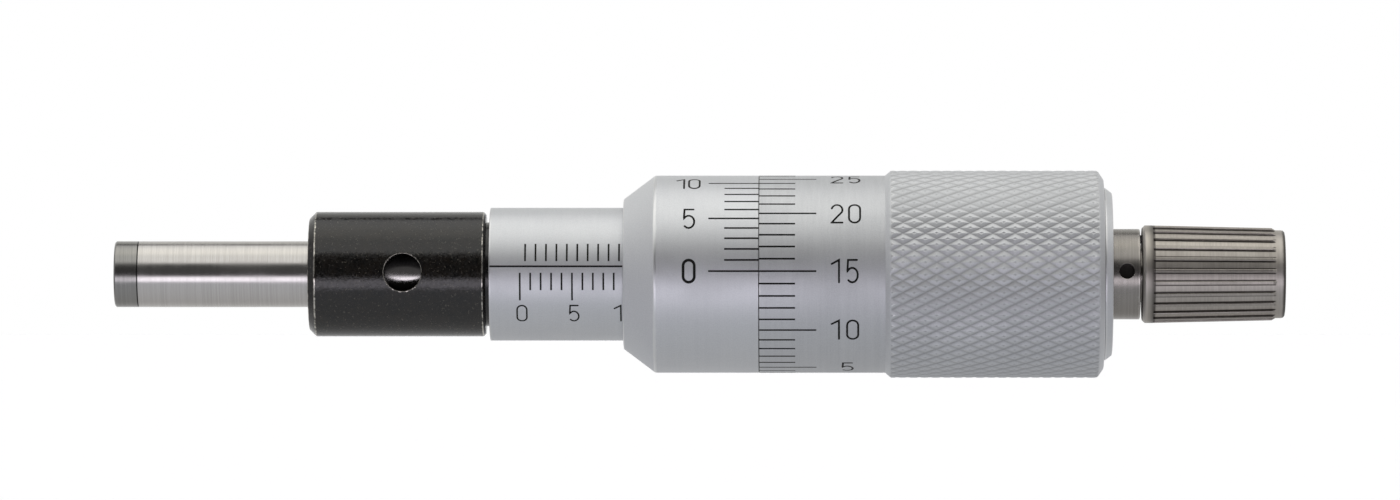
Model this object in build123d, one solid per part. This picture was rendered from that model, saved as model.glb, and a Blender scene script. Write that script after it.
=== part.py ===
from build123d import *

import math
import os

# Micrometer head with a plain clamping stem, a 25 mm scale, a vernier on a sleeve that slides
# without turning, a thimble with 50 divisions and a ratchet stop at the rear end.
# Lengths are in millimetres and angles in degrees. X runs along the spindle, from the measuring
# face towards the ratchet, -Y is the front, where the scales are read, and +Z is up.
# The origin is on the spindle's axis, at the rear end of the stem's full diameter.

# Scale and setting
scale_length = 25.0
reading = 9.65
scale_zero = 3.0
nose_past_reading = 0.19

# Fits, as gaps on the radius
guide_fit = 0.02
thread_fit = 0.05
journal_fit = 0.04
slip_fit = 0.01
ring_room = 0.05
side_fit = 0.05

# Spindle
spindle_dia = 6.35
reach_at_zero = 28.41
tip_length = 2.26
tip_chamfer = 0.15
thread_step = 0.275
thread_lead_in = 0.3
seat_step = 0.45
seat_drop = 0.4
seat_length = 8.0
seat_relief = 0.1
tail_step = 0.6
tail_length = 6.8

# Stem and barrel
stem_dia = 12.0
stem_length = 17.01
stem_chamfer = 0.65
stem_edge_break = 0.1
stem_hole_dia = 3.6
stem_hole_from_front = 9.13
stem_hole_up = 2.0
mouth_chamfer = 0.2
guide_length = 15.91
relief_step = 0.2
neck_length = 0.4
thread_room = 0.5
nut_length = 9.5
finger_wall = 0.7
taper_rise = 0.5
taper_step = 0.3
taper_set_back = 1.0
slit_width = 0.6
slit_count = 3
stem_seam_turn = 37.0

# Adjusting nut
nut_set_back = 4.0
nut_overhang = 1.3
nut_side_room = 0.1
nut_slot_width = 1.0
nut_slot_depth = 0.8
nut_slots_up = (90.0, 270.0)

# Graduated sleeve
sleeve_wall = 1.4
sleeve_lip = 0.5
sleeve_chamfer = 0.1
zero_hole_dia = 1.2
zero_hole_depth = 0.8
zero_hole_from_front = 1.7
zero_hole_up = 215.0

# Vernier sleeve
nose_lip = 0.76
cone_length = 3.06
drum_length = 13.01
bearing_length = 7.16
spigot_room = 0.6
spigot_wall = 1.5
spigot_length = 6.15
ring_set_back = 2.0
ring_wire_dia = 0.8
ring_gap_angle = 14.0

# Guide key and its screws, at the back
back = 180.0
keyway_width = 2.4
keyway_depth = 0.7
keyway_room = 2.35
key_from_cone = 0.1
key_length = 7.5
key_seat_depth = 0.96
key_screw_inset = 1.9
key_screw_dia = 1.4
key_screw_bite = 1.2
key_screw_head_dia = 2.5
key_screw_head_height = 0.8
key_screw_sink = 0.2
key_screw_slot = 0.3

# Thimble
split_gap = 0.1
thimble_wall = 0.96
band_length = 12.05
grip_step = 0.5
grip_lead_in = 0.6
end_bevel_length = 0.6
end_bevel_drop = 0.9
bore_step = 0.23
bore_step_room = 0.6

# Hub that clamps the thimble on the spindle's taper
hub_front_room = 0.55
hub_boss_wall = 2.0
hub_disc_length = 5.8
hub_seat_room = 1.0
hub_behind_seat = 5.0
hub_out = 0.82
hub_bevel_length = 0.67
hub_bevel_drop = 0.5
pilot_depth = 2.82

# Engraved marks
mark_depth = 0.05
mark_width = 0.14
dial_mark_width = 0.13
index_up = 6.9
index_overrun = 1.5
half_mark_from = 0.5
half_mark_length = 1.76
mark_from = 0.62
mark_length = 1.68
long_mark_length = 2.71
dial_up = 1.9
dial_divisions = 50
dial_reading = 15
dial_mark_length = 3.42
dial_long_mark_length = 5.45
vernier_divisions = 10
vernier_spans = 9
vernier_mark_length = 3.25
vernier_long_mark_length = 4.78
numbered_every = 5

# Ratchet stop
pawl_dia = 1.2
pawl_fit = 0.025
pawl_inner_wall = 0.715
pawl_rim = 0.375
pawl_up = 90.0
pawl_hole_floor = 1.2
pawl_shoulder = 0.1
blade_width = 0.3
blade_height = 0.8
neck_out = 2.68
neck_edge_break = 0.1
spanner_hole_dia = 1.5
spanner_hole_depth = 1.7
spanner_hole_from_rear = 1.3
spanner_hole_up = 4.2
spring_length = 2.2
spring_dia = 1.1
spring_wire_dia = 0.18
spring_turns = 6
journal_wall = 0.49
journal_end_play = 0.1
knob_gap = 0.2
knob_step = 0.35
knob_chamfer = 0.2
knob_band_length = 1.05
knob_rib_rise = 0.22
knob_taper = 0.25
knob_rib_length = 11.8
knob_rib_run_out = 0.35
knob_rib_width = 0.36
knob_rib_count = 24
knob_tail_length = 0.9
knob_end_round = 0.35
recess_step = 0.46
recess_depth = 2.45
tooth_count = 24
tooth_depth = 0.4
tooth_width = 0.68
tooth_inner_land = 0.21
tooth_outer_land = 0.25
tooth_room = 0.05
washer_thickness = 0.4
washer_room = 0.12
screw_dia = 2.0
screw_length = 4.8
screw_hole_extra = 0.3
screw_head_dia = 3.8
screw_head_height = 1.2
screw_slot_width = 0.5
screw_slot_depth = 0.6

# How far a cutter runs past the surface that it opens
past = 1.0

# Radii, built up from the spindle outwards
spindle_r = spindle_dia / 2
thread_r = spindle_r + thread_step
guide_bore_r = spindle_r + guide_fit
nut_bore_r = thread_r + thread_fit
relief_bore_r = nut_bore_r + relief_step
finger_r = nut_bore_r + finger_wall
taper_r = finger_r + taper_rise
barrel_r = taper_r + taper_step
stem_r = stem_dia / 2
sleeve_bore_r = barrel_r + slip_fit
sleeve_r = barrel_r + sleeve_wall
keyway_floor_r = sleeve_r - keyway_depth
nose_bore_r = sleeve_r + journal_fit
nose_edge_r = nose_bore_r + nose_lip
key_top_r = nose_bore_r + key_seat_depth
key_width = keyway_width - 2 * side_fit
spigot_bore_r = sleeve_r + spigot_room
spigot_r = spigot_bore_r + spigot_wall
ring_wire_r = ring_wire_dia / 2
thimble_bore_r = spigot_r + journal_fit
drum_r = thimble_bore_r + thimble_wall
grip_r = drum_r + grip_step
key_screw_seat_r = drum_r - key_screw_sink - key_screw_head_height
key_screw_tip_r = key_top_r - key_screw_bite
hub_seat_r = thimble_bore_r - bore_step
hub_r = hub_seat_r - slip_fit
seat_large_r = thread_r - seat_step
seat_small_r = seat_large_r - seat_drop
tail_r = seat_small_r - tail_step
tail_bore_r = tail_r + slip_fit
journal_r = tail_bore_r + journal_wall
pawl_r = pawl_dia / 2
pawl_bore_r = pawl_r + pawl_fit
pawl_axis_r = tail_bore_r + pawl_inner_wall + pawl_bore_r
neck_r = pawl_axis_r + pawl_bore_r + pawl_rim
pilot_bore_r = neck_r + slip_fit
knob_bore_r = journal_r + journal_fit
knob_r = neck_r + knob_step
recess_r = knob_bore_r + recess_step
tooth_inner_r = knob_bore_r + tooth_inner_land
tooth_outer_r = neck_r - tooth_outer_land

# Stations along X, with the stem first
travel_in = reading
travel_out = scale_length - reading
stem_rear = stem_edge_break
stem_front = stem_rear - stem_length
sleeve_front = stem_rear + neck_length
tip_x = stem_front - reach_at_zero + reading
tip_joint = tip_x + tip_length
stem_hole_x = stem_front + stem_hole_from_front
relief_start = stem_front + guide_length
thread_front = relief_start + thread_room + travel_in
nut_start = thread_front + travel_out
barrel_end = nut_start + nut_length
taper_start = nut_start + taper_set_back
sleeve_end = barrel_end + sleeve_lip
thread_end = barrel_end + travel_in - thread_room
nut_front = nut_start + nut_set_back
nut_end = barrel_end + nut_overhang

# Stations of the vernier sleeve and the thimble, which follow the reading
zero_x = sleeve_front + scale_zero
nose_x = zero_x + reading + nose_past_reading
cone_end = nose_x + cone_length
drum_end = nose_x + drum_length
bearing_end = nose_x + bearing_length
spigot_end = drum_end + spigot_length
ring_x = spigot_end - ring_set_back
key_front = cone_end + key_from_cone
key_end = key_front + key_length
keyway_start = key_front - travel_in - keyway_room
thimble_front = drum_end + split_gap
band_end = thimble_front + band_length
grip_start = band_end + grip_lead_in
bore_step_x = spigot_end + bore_step_room
hub_front = nut_end + travel_in + hub_front_room
seat_start = hub_front + hub_seat_room
seat_end = seat_start + seat_length
thimble_end = seat_end + hub_behind_seat
grip_end = thimble_end - end_bevel_length
hub_disc_front = thimble_end - hub_disc_length
hub_rear = thimble_end + hub_out
pilot_seat = hub_rear - pilot_depth
tail_end = seat_end + tail_length

# Stations of the ratchet stop
neck_end = hub_rear + neck_out
tail_hole_end = tail_end + thread_room
pawl_hole_end = pilot_seat + pawl_hole_floor
pawl_rear = pawl_hole_end + spring_length + 2 * side_fit
knob_front = neck_end + knob_gap
band_rear = knob_front + knob_band_length
rib_end = band_rear + knob_rib_length
knob_end = rib_end + knob_tail_length
recess_floor = knob_end - recess_depth
journal_end = recess_floor + journal_end_play
washer_end = journal_end + washer_thickness
screw_tip = washer_end - screw_length


def turned(points):
    """Solid turned about X: the closed outline of (x, radius) corners, taken once round."""
    return revolve(make_face(Polyline(*points, close=True)), Axis.X)


def rod(x0, x1, radius):
    """Plain round bar on the axis."""
    return turned([(x0, 0), (x0, radius), (x1, radius), (x1, 0)])


def ring(x0, x1, r_in, r_out):
    """Plain tube on the axis."""
    return turned([(x0, r_in), (x0, r_out), (x1, r_out), (x1, r_in)])


def facing(x, angle_up):
    """Plane at station x that looks out of the head, angle_up degrees above its front."""
    up = math.radians(angle_up)
    return Plane(origin=(x, 0, 0), x_dir=(1, 0, 0), z_dir=(0, -math.cos(up), math.sin(up)))


def radial_block(x0, x1, r0, r1, width, angle_up):
    """Block between two stations and two distances from the axis, width across."""
    place = facing((x0 + x1) / 2, angle_up) * Pos(0, 0, (r0 + r1) / 2)
    return place * Box(x1 - x0, width, r1 - r0)


def radial_pin(x, radius, r0, r1, angle_up):
    """Round pin that points straight out of the axis, between two distances from it."""
    return facing(x, angle_up) * Pos(0, 0, (r0 + r1) / 2) * Cylinder(radius, r1 - r0)


def engraving(marks, surface_r, r_out):
    """The solids under a turned surface that marks of (x0, x1, width, angle_up) take up."""
    first = min(mark[0] for mark in marks) - past
    last = max(mark[1] for mark in marks) + past
    skin = ring(first, last, surface_r - mark_depth, r_out)
    reach = surface_r + past
    solids = []
    for x0, x1, width, angle_up in marks:
        solids += (skin & radial_block(x0, x1, surface_r / 2, reach, width, angle_up)).solids()
    return solids


def arc_to_angle(arc, radius):
    """Angle that a length of arc takes up on a radius."""
    return math.degrees(arc / radius)


def sleeve_marks():
    """Index line, one mark below it for each millimetre and one above it for each half."""
    line_start = sleeve_front + sleeve_chamfer
    marks = [(line_start, zero_x + scale_length + index_overrun, mark_width, index_up)]
    for i in range(int(scale_length) + 1):
        length = long_mark_length if i % numbered_every == 0 else mark_length
        down = arc_to_angle(mark_from + length / 2, sleeve_r)
        x = zero_x + i
        marks.append((x - mark_width / 2, x + mark_width / 2, length, index_up - down))
    for i in range(int(scale_length)):
        up = arc_to_angle(half_mark_from + half_mark_length / 2, sleeve_r)
        x = zero_x + i + 0.5
        marks.append((x - mark_width / 2, x + mark_width / 2, half_mark_length, index_up + up))
    return marks


def vernier_marks():
    """Eleven lines that end at the drum's rear edge, ten divisions over nine of the dial's."""
    pitch = 360 / dial_divisions * vernier_spans / vernier_divisions
    marks = []
    for i in range(vernier_divisions + 1):
        long_one = i % numbered_every == 0
        length = vernier_long_mark_length if long_one else vernier_mark_length
        marks.append((drum_end - length, drum_end, dial_mark_width, dial_up + i * pitch))
    return marks


def dial_marks():
    """Fifty lines from the thimble's front edge, with the dial's reading at the front."""
    pitch = 360 / dial_divisions
    marks = []
    for i in range(dial_divisions):
        length = dial_long_mark_length if i % numbered_every == 0 else dial_mark_length
        angle_up = dial_up + (i - dial_reading) * pitch
        marks.append((thimble_front, thimble_front + length, dial_mark_width, angle_up))
    return marks


def make_spindle():
    """Ground guide, screw thread (its crests only), taper seat and threaded tail in one bar."""
    relief_r = seat_large_r - seat_relief
    return turned([
        (tip_joint, 0),
        (tip_joint, spindle_r),
        (thread_front, spindle_r),
        (thread_front + thread_lead_in, thread_r),
        (thread_end - thread_lead_in, thread_r),
        (thread_end, relief_r),
        (seat_start, relief_r),
        (seat_start, seat_large_r),
        (seat_end, seat_small_r),
        (seat_end, tail_r),
        (tail_end, tail_r),
        (tail_end, 0),
    ])


def make_carbide_tip():
    """Hard disc brazed on the spindle, with its measuring edge broken."""
    return turned([
        (tip_x, 0),
        (tip_x, spindle_r - tip_chamfer),
        (tip_x + tip_chamfer, spindle_r),
        (tip_joint, spindle_r),
        (tip_joint, 0),
    ])


def make_stem_barrel():
    """Stem and inner barrel: guide bore, slit rear end with the spindle's nut, radial hole.

    The turned faces start and end on a seam, which is turned away from the hole and the slits.
    """
    body = Rot(stem_seam_turn, 0, 0) * turned([
        (stem_front, guide_bore_r + mouth_chamfer),
        (stem_front, stem_r - stem_chamfer),
        (stem_front + stem_chamfer, stem_r),
        (stem_rear - stem_edge_break, stem_r),
        (stem_rear, stem_r - stem_edge_break),
        (stem_rear, barrel_r),
        (taper_start, barrel_r),
        (taper_start, taper_r),
        (barrel_end, finger_r),
        (barrel_end, nut_bore_r),
        (nut_start, nut_bore_r),
        (nut_start, relief_bore_r),
        (relief_start, relief_bore_r),
        (relief_start, guide_bore_r),
        (stem_front + mouth_chamfer, guide_bore_r),
    ])
    body -= radial_pin(stem_hole_x, stem_hole_dia / 2, 0, stem_r + past, stem_hole_up)
    for i in range(slit_count):
        angle_up = back + i * 360 / slit_count
        body -= radial_block(nut_start, barrel_end + past, 0, barrel_r + past, slit_width, angle_up)
    return body


def make_adjusting_nut():
    """Taper ring that closes the barrel's slit end on the spindle's thread."""
    slope = taper_rise / (barrel_end - taper_start)
    front_r = taper_r - slope * (nut_front - taper_start) + side_fit
    rear_r = finger_r + side_fit
    outer_r = barrel_r - nut_side_room
    body = turned([
        (nut_front, front_r),
        (nut_front, outer_r),
        (nut_end, outer_r),
        (nut_end, rear_r),
        (barrel_end, rear_r),
    ])
    slot_floor = nut_end - nut_slot_depth
    for angle_up in nut_slots_up:
        body -= radial_block(slot_floor, nut_end + past, 0, outer_r + past, nut_slot_width, angle_up)
    return body


def make_graduated_sleeve():
    """Scale sleeve on the barrel, with a keyway along its back and a hole for zero setting."""
    body = turned([
        (sleeve_front, sleeve_bore_r),
        (sleeve_front, sleeve_r - sleeve_chamfer),
        (sleeve_front + sleeve_chamfer, sleeve_r),
        (sleeve_end - sleeve_chamfer, sleeve_r),
        (sleeve_end, sleeve_r - sleeve_chamfer),
        (sleeve_end, sleeve_bore_r),
    ])
    body -= radial_block(
        keyway_start, sleeve_end + past, keyway_floor_r, sleeve_r + past, keyway_width, back
    )
    hole_x = sleeve_front + zero_hole_from_front
    hole_floor = sleeve_r - zero_hole_depth
    body -= radial_pin(hole_x, zero_hole_dia / 2, hole_floor, sleeve_r + past, zero_hole_up)
    return body - engraving(sleeve_marks(), sleeve_r, sleeve_r + past)


def make_vernier_sleeve():
    """Sliding sleeve: conical nose, drum with the vernier, spigot that carries the thimble."""
    groove_half = ring_wire_r + ring_room
    body = turned([
        (nose_x, nose_bore_r),
        (nose_x, nose_edge_r),
        (cone_end, drum_r),
        (drum_end, drum_r),
        (drum_end, spigot_r),
        (ring_x - groove_half, spigot_r),
        (ring_x - groove_half, spigot_r - groove_half),
        (ring_x + groove_half, spigot_r - groove_half),
        (ring_x + groove_half, spigot_r),
        (spigot_end, spigot_r),
        (spigot_end, spigot_bore_r),
        (bearing_end, spigot_bore_r),
        (bearing_end, nose_bore_r),
    ])
    seat = (key_front - slip_fit, key_end + slip_fit, sleeve_r - past, key_top_r)
    body -= radial_block(*seat, key_width + 2 * slip_fit, back)
    for x in key_screw_places():
        body -= radial_pin(x, key_screw_dia / 2 + slip_fit, sleeve_r, drum_r, back)
        head_r = key_screw_head_dia / 2 + side_fit
        body -= radial_pin(x, head_r, key_screw_seat_r, drum_r + past, back)
    return body - engraving(vernier_marks(), drum_r, drum_r + past)


def key_screw_places():
    """Stations of the two screws that hold the guide key."""
    return [key_front + key_screw_inset, key_end - key_screw_inset]


def make_guide_key():
    """Feather key that keeps the vernier sleeve from turning on the graduated sleeve."""
    body = radial_block(
        key_front, key_end, keyway_floor_r + side_fit, key_top_r, key_width, back
    )
    for x in key_screw_places():
        hole_r = key_screw_dia / 2 + slip_fit
        body -= radial_pin(x, hole_r, key_screw_tip_r - slip_fit, key_top_r + past, back)
    return body


def make_key_screws():
    """Two slotted screws, sunk in the back of the vernier sleeve."""
    screws = []
    head_top = key_screw_seat_r + key_screw_head_height
    head_r = key_screw_head_dia / 2
    for x in key_screw_places():
        screw = radial_pin(x, key_screw_dia / 2, key_screw_tip_r, key_screw_seat_r, back)
        screw += radial_pin(x, head_r, key_screw_seat_r, head_top, back)
        slot_floor = head_top - key_screw_slot
        screw -= radial_block(x - head_r, x + head_r, slot_floor, head_top + past, key_screw_slot, back)
        screws += screw.solids()
    return Compound(screws)


def make_retaining_ring():
    """Open wire ring, half in the spigot's groove and half in the thimble's."""
    wire = Pos(ring_x, spigot_r) * Circle(ring_wire_r)
    return revolve(wire, Axis.X, 360 - ring_gap_angle)


def make_thimble():
    """Thimble: scale band, grip, rear bevel, bearing bore for the spigot, seat for the hub."""
    groove_half = ring_wire_r + ring_room
    body = turned([
        (thimble_front, thimble_bore_r),
        (thimble_front, drum_r),
        (band_end, drum_r),
        (grip_start, grip_r),
        (grip_end, grip_r),
        (thimble_end, grip_r - end_bevel_drop),
        (thimble_end, hub_seat_r),
        (bore_step_x, hub_seat_r),
        (bore_step_x, thimble_bore_r),
        (ring_x + groove_half, thimble_bore_r),
        (ring_x + groove_half, spigot_r + groove_half),
        (ring_x - groove_half, spigot_r + groove_half),
        (ring_x - groove_half, thimble_bore_r),
    ])
    return body - engraving(dial_marks(), drum_r, drum_r + past)


def make_end_hub():
    """Hub inside the thimble's rear end, drawn up on the spindle's taper by the ratchet neck."""
    slope = seat_drop / seat_length
    boss_r = seat_large_r + hub_boss_wall
    front_bore = seat_large_r + slope * hub_seat_room + slip_fit
    rear_bore = seat_small_r - slope * (pilot_seat - seat_end) + slip_fit
    return turned([
        (hub_front, front_bore),
        (hub_front, boss_r),
        (hub_disc_front, boss_r),
        (hub_disc_front, hub_r),
        (hub_rear - hub_bevel_length, hub_r),
        (hub_rear, hub_r - hub_bevel_drop),
        (hub_rear, pilot_bore_r),
        (pilot_seat, pilot_bore_r),
        (pilot_seat, rear_bore),
    ])


def make_ratchet_neck():
    """Nut on the spindle's tail with the knob's journal, a spanner hole and the pawl's hole."""
    screw_bore_r = screw_dia / 2 + slip_fit
    screw_hole_end = screw_tip - screw_hole_extra
    body = turned([
        (pilot_seat, tail_bore_r),
        (pilot_seat, neck_r),
        (neck_end - neck_edge_break, neck_r),
        (neck_end, neck_r - neck_edge_break),
        (neck_end, journal_r),
        (journal_end, journal_r),
        (journal_end, screw_bore_r),
        (screw_hole_end, screw_bore_r),
        (screw_hole_end, 0),
        (tail_hole_end, 0),
        (tail_hole_end, tail_bore_r),
    ])
    hole_x = neck_end - spanner_hole_from_rear
    hole_floor = neck_r - spanner_hole_depth
    body -= radial_pin(hole_x, spanner_hole_dia / 2, hole_floor, neck_r + past, spanner_hole_up)
    return body - on_pawl_axis(rod(pawl_hole_end, neck_end + past, pawl_bore_r))


def on_pawl_axis(shape):
    """A shape made on the head's axis, moved out to the pawl's."""
    up = math.radians(pawl_up)
    return Pos(0, -pawl_axis_r * math.cos(up), pawl_axis_r * math.sin(up)) * shape


def make_ratchet_spring():
    """Helical spring behind the pawl."""
    wire_r = spring_wire_dia / 2
    mean_r = spring_dia / 2 - wire_r
    height = spring_length - spring_wire_dia
    start = pawl_hole_end + side_fit + wire_r
    pitch = height / spring_turns
    path = Helix(pitch, height, mean_r)
    profile = Plane(origin=path @ 0, z_dir=path % 0) * Circle(wire_r)
    coil = sweep(profile, path, is_frenet=True)
    return on_pawl_axis(Pos(start, 0, 0) * Rot(0, 90, 0) * coil)


def ramp_depth(across):
    """Depth of a tooth gap, across being the distance from its shallow end."""
    return tooth_depth * across / tooth_width


def make_ratchet_pawl():
    """Sprung pin with a blade whose slanted end lies in one tooth gap of the knob."""
    blade_start = neck_end - pawl_shoulder
    steep_side = blade_width / 2 + side_fit
    shallow_end = steep_side - tooth_width
    deep_x = knob_front + ramp_depth(blade_width / 2 - shallow_end) - tooth_room
    slant_x = knob_front + ramp_depth(-blade_width / 2 - shallow_end) - tooth_room
    outline = [
        (blade_start, blade_width / 2),
        (deep_x, blade_width / 2),
        (slant_x, -blade_width / 2),
        (blade_start, -blade_width / 2),
    ]
    blade = extrude(make_face(Polyline(*outline, close=True)), blade_height / 2, both=True)
    return on_pawl_axis(rod(pawl_rear, blade_start, pawl_r) + blade)


def tooth_gap(angle_up):
    """One gap between the knob's face teeth: steep on one side, a ramp on the other."""
    steep_side = blade_width / 2 + side_fit
    shallow_end = steep_side - tooth_width
    outline = [
        (knob_front, steep_side),
        (knob_front + tooth_depth, steep_side),
        (knob_front, shallow_end),
    ]
    face = Pos(0, 0, tooth_inner_r) * make_face(Polyline(*outline, close=True))
    gap = extrude(face, tooth_outer_r - tooth_inner_r)
    return Rot(pawl_up - angle_up, 0, 0) * gap


def make_ratchet_knob():
    """Ribbed knob that turns on the neck's journal, with face teeth at its front."""
    floor_r = knob_r - knob_rib_rise
    tail_end_r = floor_r - knob_taper
    body = turned([
        (knob_front, knob_bore_r),
        (knob_front, knob_r - knob_chamfer),
        (knob_front + knob_chamfer, knob_r),
        (band_rear, knob_r),
        (band_rear, floor_r),
        (rib_end, tail_end_r),
        (knob_end, tail_end_r),
        (knob_end, recess_r),
        (recess_floor, recess_r),
        (recess_floor, knob_bore_r),
    ])
    outer_end_edge = body.edges().filter_by(GeomType.CIRCLE).group_by(Axis.X)[-1].sort_by(
        SortBy.RADIUS
    )[-1]
    body = fillet(outer_end_edge, knob_end_round)
    rib_skin = turned([
        (band_rear - slip_fit, floor_r - knob_rib_rise),
        (band_rear - slip_fit, knob_r),
        (rib_end - knob_rib_run_out, knob_r - knob_taper),
        (rib_end, tail_end_r),
        (rib_end, tail_end_r - knob_rib_rise),
    ])
    for i in range(knob_rib_count):
        angle_up = spanner_hole_up + i * 360 / knob_rib_count
        slab = (knob_front, knob_end, recess_r, knob_r + past, knob_rib_width, angle_up)
        body += rib_skin & radial_block(*slab)
    gaps = [tooth_gap(pawl_up + i * 360 / tooth_count) for i in range(tooth_count)]
    return body - gaps


def make_knob_washer():
    """Washer that keeps the knob on its journal."""
    return ring(journal_end, washer_end, screw_dia / 2 + side_fit, recess_r - washer_room)


def make_ratchet_screw():
    """Slotted screw in the end of the journal."""
    head_end = washer_end + screw_head_height
    head_r = screw_head_dia / 2
    body = turned([
        (screw_tip, 0),
        (screw_tip, screw_dia / 2),
        (washer_end, screw_dia / 2),
        (washer_end, head_r),
        (head_end, head_r),
        (head_end, 0),
    ])
    slot_x = head_end - screw_slot_depth / 2
    return body - Pos(slot_x, 0, 0) * Box(screw_slot_depth, screw_head_dia + past, screw_slot_width)


parts = {
    "stem_barrel": make_stem_barrel(),
    "graduated_sleeve": make_graduated_sleeve(),
    "sleeve_scale_marks": Compound(engraving(sleeve_marks(), sleeve_r, sleeve_r)),
    "adjusting_nut": make_adjusting_nut(),
    "vernier_sleeve": make_vernier_sleeve(),
    "vernier_scale_marks": Compound(engraving(vernier_marks(), drum_r, drum_r)),
    "guide_key": make_guide_key(),
    "key_screws": make_key_screws(),
    "retaining_ring": make_retaining_ring(),
    "spindle": make_spindle(),
    "carbide_tip": make_carbide_tip(),
    "thimble": make_thimble(),
    "thimble_scale_marks": Compound(engraving(dial_marks(), drum_r, drum_r)),
    "end_hub": make_end_hub(),
    "ratchet_neck": make_ratchet_neck(),
    "ratchet_spring": make_ratchet_spring(),
    "ratchet_pawl": make_ratchet_pawl(),
    "ratchet_knob": make_ratchet_knob(),
    "knob_washer": make_knob_washer(),
    "ratchet_screw": make_ratchet_screw(),
}

os.makedirs("parts", exist_ok=True)
for name, shape in parts.items():
    export_step(shape, f"parts/{name}.step")
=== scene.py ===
# %% [markdown]
# # A micrometer head, finished around its CAD frame
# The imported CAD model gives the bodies, the joints and the size. This script adds what a drawing
# leaves out: softened and worn edges, the diamond knurl, the numbers on the scales, and the
# finishes of ground, chromed and blackened steel. Everything is in metres in the frame of the CAD:
# X runs along the spindle, -Y is the front, where the scales are read, and +Z is up.

# %% Load the frame
import math

import bpy
import numpy as np
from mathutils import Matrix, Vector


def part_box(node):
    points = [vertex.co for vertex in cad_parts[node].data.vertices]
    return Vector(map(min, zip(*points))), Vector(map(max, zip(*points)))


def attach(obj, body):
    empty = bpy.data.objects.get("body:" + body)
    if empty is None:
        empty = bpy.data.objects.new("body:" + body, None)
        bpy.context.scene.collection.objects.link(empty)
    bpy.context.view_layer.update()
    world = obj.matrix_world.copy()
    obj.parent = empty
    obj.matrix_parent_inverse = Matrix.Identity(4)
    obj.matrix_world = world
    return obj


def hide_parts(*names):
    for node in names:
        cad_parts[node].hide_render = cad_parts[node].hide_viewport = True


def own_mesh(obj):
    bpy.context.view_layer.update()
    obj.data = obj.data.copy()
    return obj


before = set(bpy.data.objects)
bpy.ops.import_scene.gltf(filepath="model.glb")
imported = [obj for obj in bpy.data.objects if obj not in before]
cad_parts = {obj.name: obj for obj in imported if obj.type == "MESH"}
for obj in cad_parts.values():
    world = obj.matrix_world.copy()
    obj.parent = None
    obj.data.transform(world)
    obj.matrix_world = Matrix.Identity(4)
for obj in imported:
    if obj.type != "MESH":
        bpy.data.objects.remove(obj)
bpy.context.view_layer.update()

print("nodes", len(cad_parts))

# %% [markdown]
# ## The studio
# The head is photographed level, from the front, with a long lens about a metre away. A long lens
# keeps the two ends of a slim object nearly the same size. The camera stands a little to the right
# of the middle and is turned back to it, so the right-hand rims are seen a touch from behind.

# %% Camera
MM = 0.001
MM_PER_M = 1000.0
camera_place = (33.7 * MM, -1011.0 * MM, 2.33 * MM)
camera_aim = (20.68 * MM, 0.0, 2.33 * MM)
seen_width = 134.87 * MM
sensor_width = 36.0

camera_data = bpy.data.cameras.new("camera")
camera = bpy.data.objects.new("camera", camera_data)
bpy.context.scene.collection.objects.link(camera)
bpy.context.scene.camera = camera
camera.location = camera_place
off_axis = math.atan2(camera_place[0] - camera_aim[0], camera_aim[1] - camera_place[1])
camera.rotation_euler = (math.radians(90), 0.0, off_axis)
distance = math.dist(camera_place, camera_aim)
camera_data.sensor_width = sensor_width
camera_data.lens = sensor_width * distance / seen_width
camera_data.clip_start = 0.01
camera_data.clip_end = 20.0
print("lens", round(camera_data.lens, 1), "mm")

# %% [markdown]
# ## Building node trees
# The world and all finishes are trees of nodes. With these few functions a tree reads like a sum:
# an input that is a number or a colour is typed in, and one that is a socket is linked.

# %% Node helpers
def feed(tree, node, inputs):
    """Set inputs of a node: link a socket, or type in a number or a colour of three numbers."""
    for label, value in dict(inputs).items():
        if isinstance(value, bpy.types.NodeSocket):
            tree.links.new(value, node.inputs[label])
        else:
            typed = (*value, 1.0) if isinstance(value, tuple) else value
            node.inputs[label].default_value = typed


def add(tree, kind, inputs=(), **settings):
    """A new node to the right of the tree's others, with its settings and inputs."""
    node = tree.nodes.new(kind)
    node.location = (200 * len(tree.nodes), 0)
    for name, value in settings.items():
        setattr(node, name, value)
    feed(tree, node, inputs)
    return node


def maths(tree, operation, *values):
    """The result of a Math node."""
    return add(tree, "ShaderNodeMath", enumerate(values), operation=operation).outputs[0]


def spread(tree, value, low, high, to_low=0.0, to_high=1.0):
    """A value carried from the range low..high to another range, and kept within it."""
    limits = {"From Min": low, "From Max": high, "To Min": to_low, "To Max": to_high}
    inputs = {"Value": value, **limits}
    return add(tree, "ShaderNodeMapRange", inputs, interpolation_type="SMOOTHSTEP").outputs[0]


def blend_colours(tree, share, first, second):
    """Colour between two others, each a typed colour or a socket."""
    inputs = {"Factor": share, "A": first, "B": second}
    return add(tree, "ShaderNodeMix", inputs, data_type="RGBA").outputs["Result"]


def camera_sees(tree, seen, otherwise, output):
    """Put on a tree's output one shader for the camera and another for all that mirrors it."""
    is_camera = add(tree, "ShaderNodeLightPath").outputs["Is Camera Ray"]
    choose = add(tree, "ShaderNodeMixShader", enumerate((is_camera, otherwise, seen)))
    add(tree, output, {"Surface": choose.outputs[0]})


# %% [markdown]
# ## Light for polished round bars
# A turned bar mirrors the whole studio as stripes along its length, so for metal the studio is the
# picture. Photographers put a long soft box overhead, leave the room dark above the lens and let a
# narrow strip of the lit table shine back from below. It could be done with lamps and cards. One
# gradient in the world, taken round the X axis, gives the same stripes on every piece, also at
# the joints' limits, and shows no noise. The camera itself sees plain white.
#
# The stripes are listed as the direction they come from, in degrees up from the front, and their
# colour, where 1 is white paper.

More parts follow.
